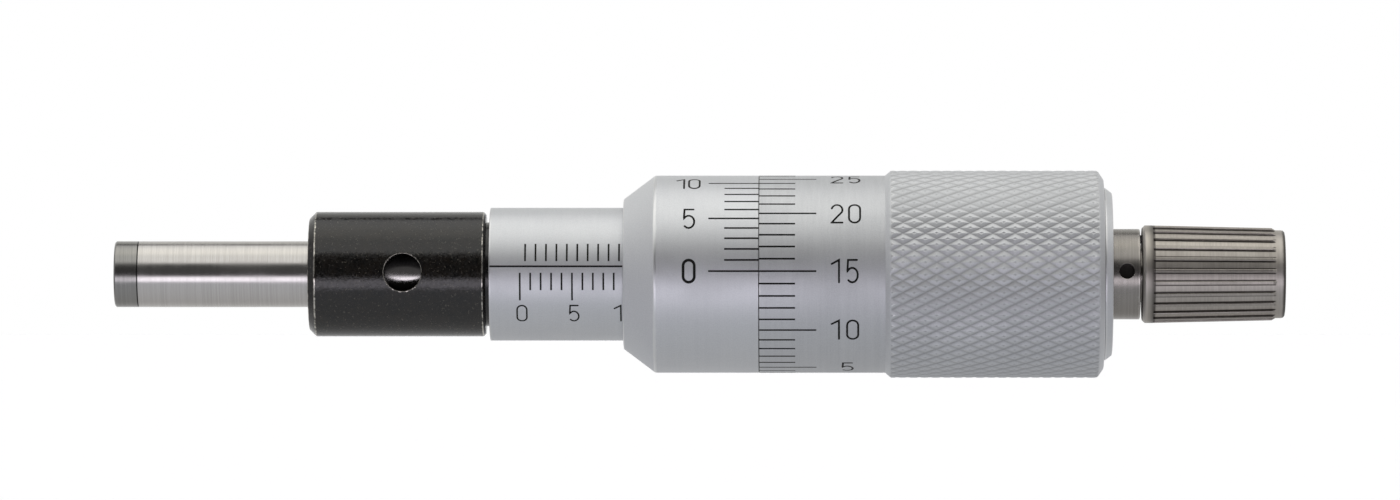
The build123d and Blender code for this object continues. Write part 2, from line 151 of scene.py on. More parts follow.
# %% World
stripes = [
    (-180, (0.92, 0.92, 0.92)),
    (-150, (0.60, 0.60, 0.60)),
    (-115, (0.48, 0.48, 0.48)),
    (-60, (0.53, 0.54, 0.56)),
    (-29, (0.55, 0.56, 0.60)),
    (-23, (1.70, 1.63, 1.80)),
    (-12, (1.66, 1.59, 1.74)),
    (-8, (0.50, 0.48, 0.52)),
    (-4, (0.075, 0.072, 0.075)),
    (30, (0.065, 0.065, 0.065)),
    (37, (0.22, 0.22, 0.22)),
    (42, (1.02, 1.01, 0.99)),
    (66, (0.94, 0.94, 0.91)),
    (80, (1.22, 1.20, 1.13)),
    (100, (1.17, 1.16, 1.12)),
    (120, (0.80, 0.80, 0.80)),
    (123.5, (0.10, 0.10, 0.10)),
    (127, (0.10, 0.10, 0.10)),
    (131, (0.55, 0.55, 0.53)),
    (155, (0.72, 0.72, 0.70)),
    (180, (0.92, 0.92, 0.92)),
]
brightest = 1.8
end_light, end_fade = (0.36, 0.36, 0.37), (0.74, 0.94)


def dimmed(colour):
    """A colour as a share of the brightest light, since a ramp holds no more than 1."""
    return tuple(c / brightest for c in colour)


world = bpy.data.worlds.new("studio")
bpy.context.scene.world = world
world.use_nodes = True
sky = world.node_tree
sky.nodes.clear()
direction = add(sky, "ShaderNodeTexCoord").outputs["Generated"]
x, y, z = add(sky, "ShaderNodeSeparateXYZ", {0: direction}).outputs
angle = maths(sky, "ARCTAN2", z, maths(sky, "MULTIPLY", y, -1.0))
turn = maths(sky, "MULTIPLY_ADD", angle, 1 / (2 * math.pi), 0.5)
ramp = add(sky, "ShaderNodeValToRGB", {0: turn})
elements = ramp.color_ramp.elements
for degrees, colour in stripes:
    at_end = {-180: elements[0], 180: elements[-1]}
    element = at_end.get(degrees) or elements.new(degrees / 360 + 0.5)
    element.color = (*dimmed(colour), 1.0)
endways = spread(sky, maths(sky, "ABSOLUTE", x), *end_fade)
studio = blend_colours(sky, endways, ramp.outputs["Color"], dimmed(end_light))
studio_light = add(sky, "ShaderNodeBackground", {"Color": studio, "Strength": brightest})
white = add(sky, "ShaderNodeBackground", {"Color": (1, 1, 1), "Strength": 1.0})
camera_sees(sky, white.outputs[0], studio_light.outputs[0], "ShaderNodeOutputWorld")
bpy.context.scene.view_settings.view_transform = "Standard"
print("stripes", len(stripes))

# %% [markdown]
# ## The floor
# A white table lies well below the head, so only a breath of its shadow is left. The camera sees
# the table as white paper, and the shadow stays because the lit part is only topped up to white.

# %% Floor
floor_drop = 30 * MM
floor_half = 3.0
floor_colour, floor_top_up = (0.82, 0.82, 0.82), (0.357, 0.357, 0.385)


def floor_mesh():
    """A square lying level: the four corners go round it against the clock, seen from above."""
    mesh = bpy.data.meshes.new("floor")
    corners = [(-1, -1), (1, -1), (1, 1), (-1, 1)]
    points = [(x * floor_half, y * floor_half, -floor_drop) for x, y in corners]
    mesh.from_pydata(points, [], [(0, 1, 2, 3)])
    return mesh


paper = bpy.data.materials.new("paper")
paper.use_nodes = True
tree = paper.node_tree
tree.nodes.clear()
lit = add(tree, "ShaderNodeBsdfDiffuse", {"Color": floor_colour}).outputs[0]
top_up = add(tree, "ShaderNodeEmission", {"Color": floor_top_up}).outputs[0]
both = add(tree, "ShaderNodeAddShader", enumerate((lit, top_up))).outputs[0]
camera_sees(tree, both, lit, "ShaderNodeOutputMaterial")

floor = bpy.data.objects.new("floor", floor_mesh())
bpy.context.scene.collection.objects.link(floor)
floor.data.materials.append(paper)
floor.visible_glossy = False

# %% [markdown]
# ## Turned surfaces as numpy arrays
# Nearly every piece came off a lathe, so each is one closed outline of (station, distance from
# the axis) corners carried round the axis. The CAD has sharp corners. A real edge is broken by a
# stone, and that thin rounded line is what catches the light, so each corner is blended first.

# %% Helpers for outlines
edge_fade = (0.03, 0.12, 0.35)


def blend_corner(before, corner, after, reach, steps):
    """Points of one rounded corner: a parabola from `reach` before the corner to `reach` after it.

    Point(t) = (1-t)^2 start + 2t(1-t) corner + t^2 end, for t from 0 to 1.
    """
    towards = (before - corner) / np.linalg.norm(before - corner)
    away = (after - corner) / np.linalg.norm(after - corner)
    start, end = corner + towards * reach, corner + away * reach
    t = np.linspace(0, 1, steps + 1)[:, None]
    return (1 - t) ** 2 * start + 2 * t * (1 - t) * corner + t**2 * end


def fade_out(corner, run_off, reach):
    """Points beside a rounded corner along one of its runs, with `edge` 0 at the last of them."""
    length = np.linalg.norm(run_off)
    fades = [f for f in edge_fade if reach + f < 0.45 * length]
    levels = [0.75, 0.35, 0.0][: len(fades)]
    if levels:
        levels[-1] = 0.0
    return [corner + run_off / length * (reach + f) for f in fades], levels


def outline(corners, blend=0.06, steps=3):
    """A closed outline from (x, r) or (x, r, blend) corners, with its edges rounded and marked.

    Returns stations, radii and `edge`, which is 1 on a rounded outer edge and fades to 0 beside it.
    """
    points = np.array([c[:2] for c in corners], float)
    reaches = [c[2] if len(c) > 2 else blend for c in corners]
    after = np.roll(points, -1, axis=0)
    area = np.sum(points[:, 0] * after[:, 1] - after[:, 0] * points[:, 1])
    places, marks = [], []
    for i, here in enumerate(points):
        back, ahead = points[i - 1], after[i]
        a, b = here - back, ahead - here
        outer = (a[0] * b[1] - a[1] * b[0]) * area > 0
        reach = min(reaches[i], 0.45 * np.linalg.norm(a), 0.45 * np.linalg.norm(b))
        if here[1] == 0 or reach <= 0:
            places.append(here[None])
            marks.append(np.zeros(1))
            continue
        arc = blend_corner(back, here, ahead, reach, steps)
        lead_in, levels_in = fade_out(here, -a, reach)
        lead_out, levels_out = fade_out(here, b, reach)
        places.append(np.array(lead_in[::-1] + list(arc) + lead_out))
        worn = np.array(levels_in[::-1] + [1.0] * len(arc) + levels_out)
        marks.append(worn * float(outer))
    line = np.concatenate(places)
    return line[:, 0], line[:, 1], np.concatenate(marks)


def add_stations(shape, wanted, radius):
    """Put rings at the wanted stations, where a straight run of the outline has that radius."""
    x, r, edge = shape
    for station in wanted:
        x_next, r_next = np.roll(x, -1), np.roll(r, -1)
        flat = (abs(r - radius) < 1e-6) & (abs(r_next - radius) < 1e-6)
        inside = (x - station) * (x_next - station) < -1e-9
        found = np.nonzero(flat & inside)[0]
        if len(found):
            at = found[0] + 1
            extra = zip((x, r, edge), (station, radius, 0))
            x, r, edge = (np.insert(row, at, value) for row, value in extra)
    return x, r, edge


# %% [markdown]
# ## From arrays to a mesh
# A ring is turned to each angle "up from the front" and neighbouring rings are joined with
# triangles. A grid is quick, and the whole of it is worked out at once. Doubled points along the
# closing seam and at the poles are welded, so every piece is a watertight shell.

# %% Helpers for surfaces
weld_per_mm, weld_shift, hair = 1e4, 0.37, 0.01


def place(x, r, up):
    """Point in mm at station x and distance r from the axis, `up` degrees above the front."""
    turn_up = np.radians(up)
    return np.stack(np.broadcast_arrays(x, -r * np.cos(turn_up), r * np.sin(turn_up)), axis=-1)


def grid_triangles(rows, columns, keep=None, slant=None):
    """Two triangles for each cell of a grid of points. `slant` picks the cell's other diagonal."""
    index = np.arange(rows * columns).reshape(rows, columns)
    a, b = index[:-1, :-1], index[1:, :-1]
    c, d = index[1:, 1:], index[:-1, 1:]
    keep = np.ones(a.shape, bool) if keep is None else keep
    slant = np.zeros(a.shape, bool) if slant is None else slant
    usual, other = keep & ~slant, keep & slant
    halves = [(a, b, c, usual), (a, c, d, usual), (a, b, d, other), (b, c, d, other)]
    return np.concatenate([np.stack([p[m], q[m], s[m]], axis=1) for p, q, s, m in halves])


def grid_patch(points, edge=0.0, hollow=0.0, keep=None, slant=None):
    """A grid of points (i, j, xyz) as the points, triangles, edges and hollows of a piece."""
    marks = (np.broadcast_to(value, points.shape[:2]).flatten() for value in (edge, hollow))
    return (points.reshape(-1, 3), grid_triangles(*points.shape[:2], keep, slant), *marks)


def inside_out(patch):
    """The same patch with its faces turned the other way."""
    return patch[0], patch[1][:, ::-1], *patch[2:]


def ring_columns(shape):
    """Stations, radii and edges of an outline as columns, with the first ring again at the end."""
    return (np.append(a, a[0])[:, None] for a in shape)


def turned(shape, ups, radii=None, keep=None, slant=None, hollow=0.0):
    """A closed outline carried round the axis: points(i, j) = place(x[i], r[i, j], up[j])."""
    x, r, edge = ring_columns(shape)
    points = place(x, r if radii is None else radii, ups[None, :])
    return grid_patch(points, edge * (1 - hollow), hollow, keep, slant)


def seam_dirt(shape, station, reach, below):
    """A dark seam: 1 within `reach` of the station and further out than `below`, else 0.

    It draws the brazed joint's own dark line, and painted shade in the gaps between parts.
    """
    x, r, _ = ring_columns(shape)
    return ((abs(x - station) < reach) & (r > below)).astype(float)


def weld(points, triangles):
    """Join points that fall in the same tenth of a micron, and drop triangles that vanish."""
    keys = np.round(points * weld_per_mm + weld_shift).astype(np.int64)
    _, first, index = np.unique(keys, axis=0, return_index=True, return_inverse=True)
    joined = index.reshape(-1)[triangles]
    a, b, c = joined.T
    return first, joined[(a != b) & (b != c) & (c != a)]


def volume(points, triangles):
    """Volume inside a closed shell: the sum of the pyramids from the origin to each triangle."""
    a, b, c = (points[triangles[:, k]] for k in range(3))
    return np.einsum("ij,ij->i", a, np.cross(b, c)).sum() / 6


def make_piece(name, patches, body, replaced=(), sharp_from=40):
    """One object from patches of (points, triangles, edge, hollow), welded and facing outwards."""
    starts = np.cumsum([0] + [len(patch[0]) for patch in patches])
    triangles = np.concatenate([patch[1] + start for patch, start in zip(patches, starts)])
    points, edge, hollow = (np.concatenate([patch[k] for patch in patches]) for k in (0, 2, 3))
    kept, triangles = weld(points, triangles)
    points, edge, hollow = points[kept], edge[kept], hollow[kept]
    inside = volume(points, triangles)
    if inside < 0:
        triangles = triangles[:, ::-1]
    mesh = bpy.data.meshes.new(name)
    mesh.vertices.add(len(points))
    mesh.vertices.foreach_set("co", (points * MM).astype(np.float32).ravel())
    mesh.loops.add(triangles.size)
    mesh.loops.foreach_set("vertex_index", triangles.astype(np.int32).ravel())
    mesh.polygons.add(len(triangles))
    mesh.polygons.foreach_set("loop_start", np.arange(0, triangles.size, 3, dtype=np.int32))
    mesh.update(calc_edges=True)
    mesh.validate()
    for label, values in (("edge", edge), ("hollow", hollow)):
        layer = mesh.attributes.new(label, "FLOAT", "POINT")
        layer.data.foreach_set("value", values.astype(np.float32))
    mesh.shade_smooth()
    mesh.set_sharp_from_angle(angle=math.radians(sharp_from))
    piece = bpy.data.objects.new(name, mesh)
    bpy.context.scene.collection.objects.link(piece)
    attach(piece, body)
    if replaced:
        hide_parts(*replaced)
    print(name, len(triangles), "triangles,", round(abs(inside) / 1000, 3), "cm3")
    return piece


# %% [markdown]
# ## Round holes in round walls
# A cross hole meets a cylinder in a saddle-shaped rim. A boolean would leave long thin faces round
# it that shade badly. Here a window is left open in the grid, and a fan of rows goes from the rim
# out to the window's border, so that all of it lies exactly on the cylinder.

# %% Helpers for holes
def window_walk(per_side):
    """Points round the border of the square from -1 to 1, with their direction from its middle."""
    run = np.linspace(-1, 1, per_side + 1)[:-1]
    one = np.ones(per_side)
    p = np.concatenate([run, one, -run, -one, [-1]])
    q = np.concatenate([-one, run, one, -run, [-1]])
    return p, q, np.arctan2(q, p)


def hole_skin(hole, radius, hole_r, rows=(0, 0.03, 0.1, 0.3, 0.6, 1), fades=(1, 0.7, 0)):
    """Skin of a cylinder from a hole's rim out to its window, on rows of share w of the way.

    The rim is x = hole_r cos(f), up = asin(hole_r sin(f) / radius) for the direction f, and each
    row lies straight between the rim and the border in station and angle.
    """
    p, q, f = window_walk(hole["per_side"])
    rim_x = hole["x"] + hole_r * np.cos(f)
    rim_up = hole["up"] + np.degrees(np.arcsin(hole_r * np.sin(f) / radius))
    out_x = hole["x"] + hole["half_x"] * p
    out_up = hole["up"] + hole["half_up"] * q
    w = np.array(rows)[:, None]
    points = place(rim_x + (out_x - rim_x) * w, radius, rim_up + (out_up - rim_up) * w)
    return grid_patch(points, np.interp(w, rows[:3], fades))


def hole_wall(hole, rows, darkening=0.0):
    """Wall of a hole, from (hole radius, cylinder radius or None, depth level, edge) rows.

    A row on a cylinder of radius R lies sqrt(R^2 - (a sin f)^2) out along the hole's direction.
    A row on a flat floor lies its level out.
    """
    _, _, f = window_walk(hole["per_side"])
    up = math.radians(hole["up"])
    out = np.array([0, -math.cos(up), math.sin(up)])
    side = np.array([0, math.sin(up), math.cos(up)])
    rings = []
    for hole_r, cylinder_r, level, _ in rows:
        across = hole_r * np.sin(f)
        along = np.full_like(f, level) if cylinder_r is None else np.sqrt(cylinder_r**2 - across**2)
        ring = along[:, None] * out + across[:, None] * side
        ring[:, 0] = hole["x"] + hole_r * np.cos(f)
        rings.append(ring)
    edge = np.array([row[3] for row in rows])[:, None]
    return inside_out(grid_patch(np.array(rings), edge, darkening * (edge < 0.5)))


def window_lines(hole, axis):
    """Stations ("x") or angles ("up") at which the grid has to have lines for a hole's window."""
    return hole[axis] + hole["half_" + axis] * np.linspace(-1, 1, hole["per_side"] + 1)


def angles(count, extra=(), hole=None, start=-180.0):
    """Even angles once round, with extra ones and a hole's window lines in place of near ones."""
    even = start + np.linspace(0, 360, count + 1)
    lines = [] if hole is None else list(window_lines(hole, "up"))
    wanted = (np.array([*extra, *lines], float) - start) % 360 + start
    near = 180 / count
    for line in wanted:
        even = even[(abs(even - line) > near) | (even == start) | (even == start + 360)]
    if lines:
        low, high = wanted[len(extra)], wanted[-1]
        even = even[(even < low) | (even > high)]
    return np.unique(np.round(np.concatenate([even, wanted]), 9))


def windowed(shape, radii, holes, count, extra=(), start=-180.0):
    """An outline with rings for the windows of its holes, its angles, and the cells that stay.

    The cells that go are those of a window on one of the cylinders with the given radii.
    """
    for hole in holes:
        for radius in radii:
            shape = add_stations(shape, window_lines(hole, "x"), radius)
    ups = angles(count, extra, holes[0], start)
    middle_x, middle_r, _ = ((column[1:] + column[:-1]) / 2 for column in ring_columns(shape))
    middle_up = (ups[1:] + ups[:-1]) / 2
    on_wall = np.any([abs(middle_r - radius) < 1e-4 for radius in radii], axis=0)
    keep = np.ones((len(middle_x), len(middle_up)), bool)
    for hole in holes:
        off = (middle_up - hole["up"] + 180) % 360 - 180
        in_window = (abs(middle_x - hole["x"]) < hole["half_x"]) & (abs(off) < hole["half_up"])
        keep &= ~(on_wall & in_window)
    return shape, ups, keep


# %% [markdown]
# ## Spindle and hard tip
# The spindle is a ground bar, and a disc of hard metal is brazed on its end. Its two edges at
# the joint are broken a hair, which leaves the fine line between the two metals.

# %% Spindle and tip
spindle_r, thread_r = 3.175, 3.45
tip_x, joint_x = -35.67, -33.41
thread_front, thread_end = 9.15, 43.15
seat_front, seat_rear = 46.5, 54.5
seat_large, seat_small = 3.0, 2.6
tail_r, tail_end = 2.0, 61.3
thread_relief, thread_lead, tip_chamfer = 0.1, 0.3, 0.15
brazing_reach, brazing_depth = 0.06, 0.08
smooth_round = angles(192)

spindle_outline = outline([
    (joint_x, 0),
    (joint_x, spindle_r, 0.07),
    (thread_front, spindle_r),
    (thread_front + thread_lead, thread_r),
    (thread_end - thread_lead, thread_r),
    (thread_end, seat_large - thread_relief),
    (seat_front, seat_large - thread_relief),
    (seat_front, seat_large),
    (seat_rear, seat_small),
    (seat_rear, tail_r),
    (tail_end, tail_r),
    (tail_end, 0),
])
tip_outline = outline([
    (tip_x, 0),
    (tip_x, spindle_r - tip_chamfer, 0.05),
    (tip_x + tip_chamfer, spindle_r, 0.05),
    (joint_x, spindle_r, 0.05),
    (joint_x, 0),
])


def brazed(shape):
    """A turned surface with a dark line where the two metals are brazed."""
    brazing = seam_dirt(shape, joint_x, brazing_reach, spindle_r - brazing_depth)
    return [turned(shape, smooth_round, hollow=brazing)]


spindle = make_piece(
    "spindle_ground", brazed(spindle_outline), "spindle_group", ["spindle"],
)
tip = make_piece(
    "tip_hard_metal", brazed(tip_outline), "spindle_group", ["carbide_tip"],
)

# %% [markdown]
# ## Stem and barrel
# The black stem is clamped in a fixture. A cross hole in its front wall opens onto the spindle,
# and its rim is turned bright by wear. The hole goes through the outer wall and the guide bore,
# so both cylinders get a window, and a wall joins their two rims.

# %% Stem
stem_r, barrel_r, guide_r = 6.0, 5.0, 3.195
nut_bore_r, relief_r, guide_end, nut_front = 3.5, 3.7, -1.0, 24.5
taper_front, taper_large, barrel_end, taper_small = 25.5, 4.7, 34.0, 4.2
stem_front, stem_rear, stem_chamfer, bore_chamfer = -16.91, 0.1, 0.65, 0.2
rear_chamfer_x, rear_chamfer_r = 0.22, 0.26
stem_hole = {"x": -7.78, "up": 2.0, "half_x": 2.6, "half_up": 42.0, "per_side": 42}
stem_hole_r, hole_break = 1.8, 0.06

stem_outline = outline([
    (stem_front, guide_r + bore_chamfer),
    (stem_front, stem_r - stem_chamfer, 0.06),
    (stem_front + stem_chamfer, stem_r, 0.07),
    (stem_rear - rear_chamfer_x, stem_r, 0.05),
    (stem_rear, stem_r - rear_chamfer_r, 0),
    (stem_rear, barrel_r),
    (taper_front, barrel_r),
    (taper_front, taper_large),
    (barrel_end, taper_small),
    (barrel_end, nut_bore_r),
    (nut_front, nut_bore_r),
    (nut_front, relief_r),
    (guide_end, relief_r),
    (guide_end, guide_r),
    (stem_front + bore_chamfer, guide_r),
])
stem_outline, stem_ups, stem_cells = windowed(stem_outline, (stem_r, guide_r), [stem_hole], 192)
stem = make_piece(
    "stem_black",
    [
        turned(stem_outline, stem_ups, keep=stem_cells),
        hole_skin(stem_hole, stem_r, stem_hole_r + hole_break),
        inside_out(hole_skin(stem_hole, guide_r, stem_hole_r, (0, 0.5, 1), (0, 0, 0))),
        hole_wall(stem_hole, [
            (stem_hole_r + hole_break, stem_r, 0, 1.0),
            (stem_hole_r + 0.02, stem_r - 0.02, 0, 1.0),
            (stem_hole_r, stem_r - hole_break, 0, 0.6),
            (stem_hole_r, stem_r - 0.15, 0, 0.0),
            (stem_hole_r, barrel_r, 0, 0.0),
            (stem_hole_r, guide_r, 0, 0.0),
        ]),
    ],
    "barrel", ["stem_barrel"],
)


def face_middles(piece):
    """The middle of each face in millimetres, as three rows x, y and z."""
    middles = np.empty(len(piece.data.polygons) * 3)
    piece.data.polygons.foreach_get("center", middles)
    return middles.reshape(-1, 3).T / MM


def faces_outside(piece, low, high, inner_r):
    """Which faces have their middle between two stations and farther out than inner_r."""
    x, y, z = face_middles(piece)
    return (x > low) & (x < high) & (np.hypot(y, z) > inner_r)


def faces_in_hole(piece, hole, hole_r):
    """Which faces have their middle closer to a hole's axis than its radius, on the hole's side."""
    x, y, z = face_middles(piece)
    up = math.radians(hole["up"])
    across = y * math.sin(up) + z * math.cos(up)
    out = z * math.sin(up) - y * math.cos(up)
    return (np.hypot(x - hole["x"], across) < hole_r + 0.001) & (out > 0)


# These faces get a darker finish later, as painted shade in the hole.
stem_hole_faces = faces_in_hole(stem, stem_hole, stem_hole_r)
print("faces in the stem's hole", stem_hole_faces.sum())

# %% [markdown]
# ## Scale sleeve
# The satin sleeve carries the millimetre scale. The marks are thin pieces of their own, so this
# skin is set a hair below them and they show clean. At the back a keyway runs out to the rear
# end, and low at the back a blind hole takes the spanner that sets the zero. The keyway is worked
# out as a height: the radius of each point is the smaller of the skin and the flat floor.

# %% Scale sleeve
mark_proud = 0.008
scale_r = 6.4
sleeve_r = scale_r - mark_proud
sleeve_front, sleeve_end, sleeve_bore_r = 0.5, 34.5, 5.01
keyway_start, keyway_floor, keyway_half = 4.5, 5.7, 1.2
zero_hole = {"x": 2.2, "up": 215.0, "half_x": 1.0, "half_up": 10.0, "per_side": 12}
zero_hole_r, zero_hole_floor = 0.6, 5.6
key_wall_x, key_wall_up, key_corner, key_middle = 0.02, 0.15, 0.25, 20.0
key_corner_darkening, key_floor_darkening = 0.8, 0.16

sleeve_outline = outline([
    (sleeve_front, sleeve_bore_r),
    (sleeve_front, sleeve_r, 0.1),
    (sleeve_end, sleeve_r, 0.1),
    (sleeve_end, sleeve_bore_r),
])
key_rings = [keyway_start + step for step in (-key_wall_x, 0.0, key_corner)] + [key_middle]
sleeve_outline = add_stations(sleeve_outline, key_rings, sleeve_r)
key_angle = math.degrees(math.atan(keyway_half / keyway_floor)) + key_wall_up
key_lines = [180 + s * (key_angle + step) for s in (-1, 1) for step in (-key_wall_up, 0.0)]
sleeve_outline, sleeve_ups, sleeve_cells = windowed(
    sleeve_outline, (sleeve_r,), [zero_hole], 192, key_lines
)


def cut_keyway(shape, ups):
    """Radii with the keyway cut in: r = min(skin, floor / cos(angle off the middle)).

    The second result darkens the keyway: a little on its floor, and more along its corners.
    """
    x, r, _ = ring_columns(shape)
    off = ups % 360 - 180
    inside = (abs(off) < key_angle - 0.1) & (x >= keyway_start) & (r > sleeve_bore_r + 0.1)
    corner = (abs(off) > key_angle - 0.2) | (x < keyway_start + hair)
    floor_r = np.minimum(r, keyway_floor / np.cos(np.radians(off)))
    darkening = np.where(corner, key_corner_darkening, key_floor_darkening)
    return np.where(inside, floor_r, r), np.where(inside, darkening, 0.0)


def blind_hole(hole, radius, hole_r, floor_level, rim=0.04):
    """Skin and wall of a blind hole with a broken rim and a flat floor."""
    return [
        hole_skin(hole, radius, hole_r + rim),
        hole_wall(hole, [
            (hole_r + rim, radius, 0, 1.0),
            (hole_r, radius - rim, 0, 0.8),
            (hole_r, radius - 3 * rim, 0, 0.0),
            (hole_r, None, floor_level, 0.0),
            (0.0, None, floor_level, 0.0),
        ], darkening=1.0),
    ]


keyway_radii, keyway_darkening = cut_keyway(sleeve_outline, sleeve_ups)
sleeve = make_piece(
    "scale_sleeve",
    [
        turned(sleeve_outline, sleeve_ups, keyway_radii, sleeve_cells, hollow=keyway_darkening),
        *blind_hole(zero_hole, sleeve_r, zero_hole_r, zero_hole_floor),
    ],
    "barrel", ["graduated_sleeve"],
)

# %% [markdown]
# ## Vernier drum
# The drum slides along the scale with the thimble but doesn't turn. Its cone runs down to the
# scale like a pencil point, and the front edge of the cone is what the millimetres are read at.
# Two sunk screws hold its guide key at the back.

# %% Vernier drum
dial_r = 9.5
drum_r = dial_r - mark_proud
nose_x, cone_end, drum_end = 13.34, 16.40, 26.39
nose_bore_r, nose_edge_r = 6.44, 7.2
spigot_r, spigot_bore_r, spigot_end, bearing_end = 8.5, 7.0, 32.5, 20.5
screw_sink_r, screw_seat, dial_gap = 1.3, 8.5, 0.06
screw_holes = [
    {"x": x, "up": 180.0, "half_x": 1.5, "half_up": 10.0, "per_side": 12} for x in (18.4, 22.1)
]

drum_outline = outline([
    (nose_x, nose_bore_r, 0.03),
    (nose_x, nose_edge_r, 0.1),
    (cone_end, drum_r, 0.12),
    (drum_end, drum_r, 0.05),
    (drum_end, spigot_r),
    (spigot_end, spigot_r),
    (spigot_end, spigot_bore_r),
    (bearing_end, spigot_bore_r),
    (bearing_end, nose_bore_r),
])
drum_outline, drum_ups, drum_cells = windowed(
    drum_outline, (drum_r,), screw_holes, 216, start=-90.0
)
# Painted shade: the drum's rear face is darkened at its gap to the thimble.
drum_gap_shade = seam_dirt(drum_outline, drum_end, dial_gap, spigot_r)
drum_patches = [turned(drum_outline, drum_ups, keep=drum_cells, hollow=drum_gap_shade)]
for hole in screw_holes:
    drum_patches += blind_hole(hole, drum_r, screw_sink_r, screw_seat)
drum = make_piece(
    "vernier_drum", drum_patches, "vernier_carriage", ["vernier_sleeve"]
)

# %% [markdown]
# ## Thimble and its diamond knurl
# The grip is rolled with two families of helical grooves that cross at about 30 degrees to the
# axis. A bump map would look flat at the edge of the grip, where the diamonds stand out against
# the background, so they are real. A groove of either family is a wave along x/p + n*up or
# x/p - n*up, and the height is the lower of the two waves. The grid's lines meet the grooves at
# its corners, and each cell is split along the family that is lower there, so every groove is a
# straight, crisp line. The ends of the grip are turned afterwards, so they cut the diamonds off.

# %% Thimble
thimble_front, band_end, grip_start, grip_end, thimble_end = 26.41, 38.5, 39.1, 58.9, 59.5
grip_r, end_r, thimble_bore_r, rear_bore_r, bore_step = 10.0, 9.1, 8.54, 8.31, 33.1
knurl_starts, samples, knurl_depth, crest_cut = 54, 8, 0.16, 1.06
falling_share, crest_pit, pit_shade, pit_level = 0.87, 0.075, 0.8, 0.99
knurl_rings, tooth_reach, tooth_share = 74, 0.3, 0.4
knurl_pitch = (grip_end - grip_start) / knurl_rings * samples


def run(start, end, count):
    """Corners with no blend, spaced evenly from start up to but not including end."""
    t = np.linspace(0, 1, count + 1)[:-1, None]
    points = (1 - t) * np.array(start) + t * np.array(end)
    return [(x, r, 0.0) for x, r in points]


thimble_outline = outline([
    (thimble_front, thimble_bore_r),
    (thimble_front, drum_r, 0.05),
    *run((band_end, drum_r), (grip_start, grip_r), 5),
    *run((grip_start, grip_r), (grip_end, grip_r), knurl_rings),
    *run((grip_end, grip_r), (thimble_end, end_r), 5),
    (thimble_end, end_r, 0.05),
    (thimble_end, rear_bore_r),
    (bore_step, rear_bore_r),
    (bore_step, thimble_bore_r),
])
thimble_ups = angles(knurl_starts * samples)


def wave(phase):
    """A wave of straight flanks: 0 in the groove at whole numbers, 1 half way between."""
    return 1 - abs(2 * (phase - np.floor(phase)) - 1)


def knurl_phases(x, up):
    """Phases of the two families of grooves at station x and angle up."""
    along, round_it = (x - grip_start) / knurl_pitch, knurl_starts * (up + 180) / 360
    return round_it - along, round_it + along


def knurled(shape, ups):
    """Radii with the knurl cut in, how deep each point lies in it with painted shade in the crest
    pits, and each cell's diagonal.

    The height is the lower of the rising wave and the falling wave, whose grooves reach only
    `falling_share` as deep, cut flat near 1, and with a small pit left on the very crest.
    """
    x, r, _ = ring_columns(shape)
    rising, falling = knurl_phases(x, ups)
    lower = np.minimum(wave(rising), 1 - falling_share * (1 - wave(falling)))
    height = np.minimum(1, crest_cut * lower)
    pit = np.minimum(wave(rising), wave(falling)) > pit_level
    cut_r = grip_r - knurl_depth * (1 - height) - crest_pit * pit
    on_grip = (x >= band_end - hair) & (r > end_r - hair)
    radii = np.where(on_grip, np.minimum(r, cut_r), r)
    depth = np.clip((r - radii) / knurl_depth, 0, 1) ** 3
    # Painted shade: the pit on each diamond's crest is darkened.
    depth = np.where(on_grip, np.maximum(depth, pit_shade * pit), 0)
    rising, falling = knurl_phases((x[1:] + x[:-1]) / 2, (ups[1:] + ups[:-1]) / 2)
    return radii, depth, wave(rising) > 1 - falling_share * (1 - wave(falling))


thimble_radii, thimble_depth, thimble_slant = knurled(thimble_outline, thimble_ups)
# Painted shade: the thimble's front face is darkened at its gap to the drum.
thimble_gap_shade = seam_dirt(thimble_outline, thimble_front, dial_gap, spigot_r)
thimble_patch = turned(
    thimble_outline, thimble_ups, thimble_radii, slant=thimble_slant,
    hollow=np.maximum(thimble_depth, thimble_gap_shade),
)
stations, _, _ = ring_columns(thimble_outline)
turned_edges = np.minimum(abs(stations - grip_start), abs(stations - grip_end)) < tooth_reach
# Painted highlight: the teeth left where the grip's ends are turned are marked as worn edges, so
# they take the lighter worn colour.
teeth_highlight = turned_edges & (thimble_radii > grip_r - tooth_share * knurl_depth)
thimble_patch[2][:] = np.maximum(thimble_patch[2], teeth_highlight.ravel())
thimble = make_piece(
    "thimble_knurled", [thimble_patch], "spindle_group", ["thimble"],
    sharp_from=25,
)
print("knurl pitch", round(knurl_pitch, 3), "mm along,", 360 / knurl_starts, "degrees round")

# %% [markdown]
# ## Hub, neck and ribbed knob
# The hub closes the thimble's rear end. The neck behind it holds the ratchet, with a round hole
# for a pin spanner. The knob has narrow ribs with wide flats between them, which start behind a
# smooth band and run out before the smooth end. The ribs are a height again: the larger of the
# knob's tapered body and the rib's top, with columns of the grid set at the ribs' flanks.

# %% Hub and neck
hub_r, hub_rear, neck_r, neck_end = 8.3, 60.32, 4.35, 63.0
nose_start, nose_r, flange_start, neck_start = 45.5, 5.0, 53.7, 57.5
hub_bevel_x, hub_bevel_r, beside_gap = 0.67, 0.5, (-0.1, 0.04)
seat_bore_large, seat_bore_small, clearance, hub_gap_reach = 3.06, 2.46, 0.01, 0.11
hub_outline = outline([
    (nose_start, seat_bore_large),
    (nose_start, nose_r),
    (flange_start, nose_r),
    (flange_start, hub_r),
    (hub_rear - hub_bevel_x, hub_r, 0.08),
    (hub_rear, hub_r - hub_bevel_r, 0.08),
    (hub_rear, neck_r + clearance, 0.05),
    (neck_start, neck_r + clearance),
    (neck_start, seat_bore_small),
])
hub_outline = add_stations(hub_outline, [thimble_end + step for step in beside_gap], hub_r)
# Painted shade: a thin line of the hub beside the thimble's rear end is darkened.
hub_gap_shade = seam_dirt(hub_outline, thimble_end, hub_gap_reach, hub_r - 0.1)
hub = make_piece(
    "hub_ring", [turned(hub_outline, smooth_round, hollow=hub_gap_shade)], "spindle_group",
    ["end_hub"],
)

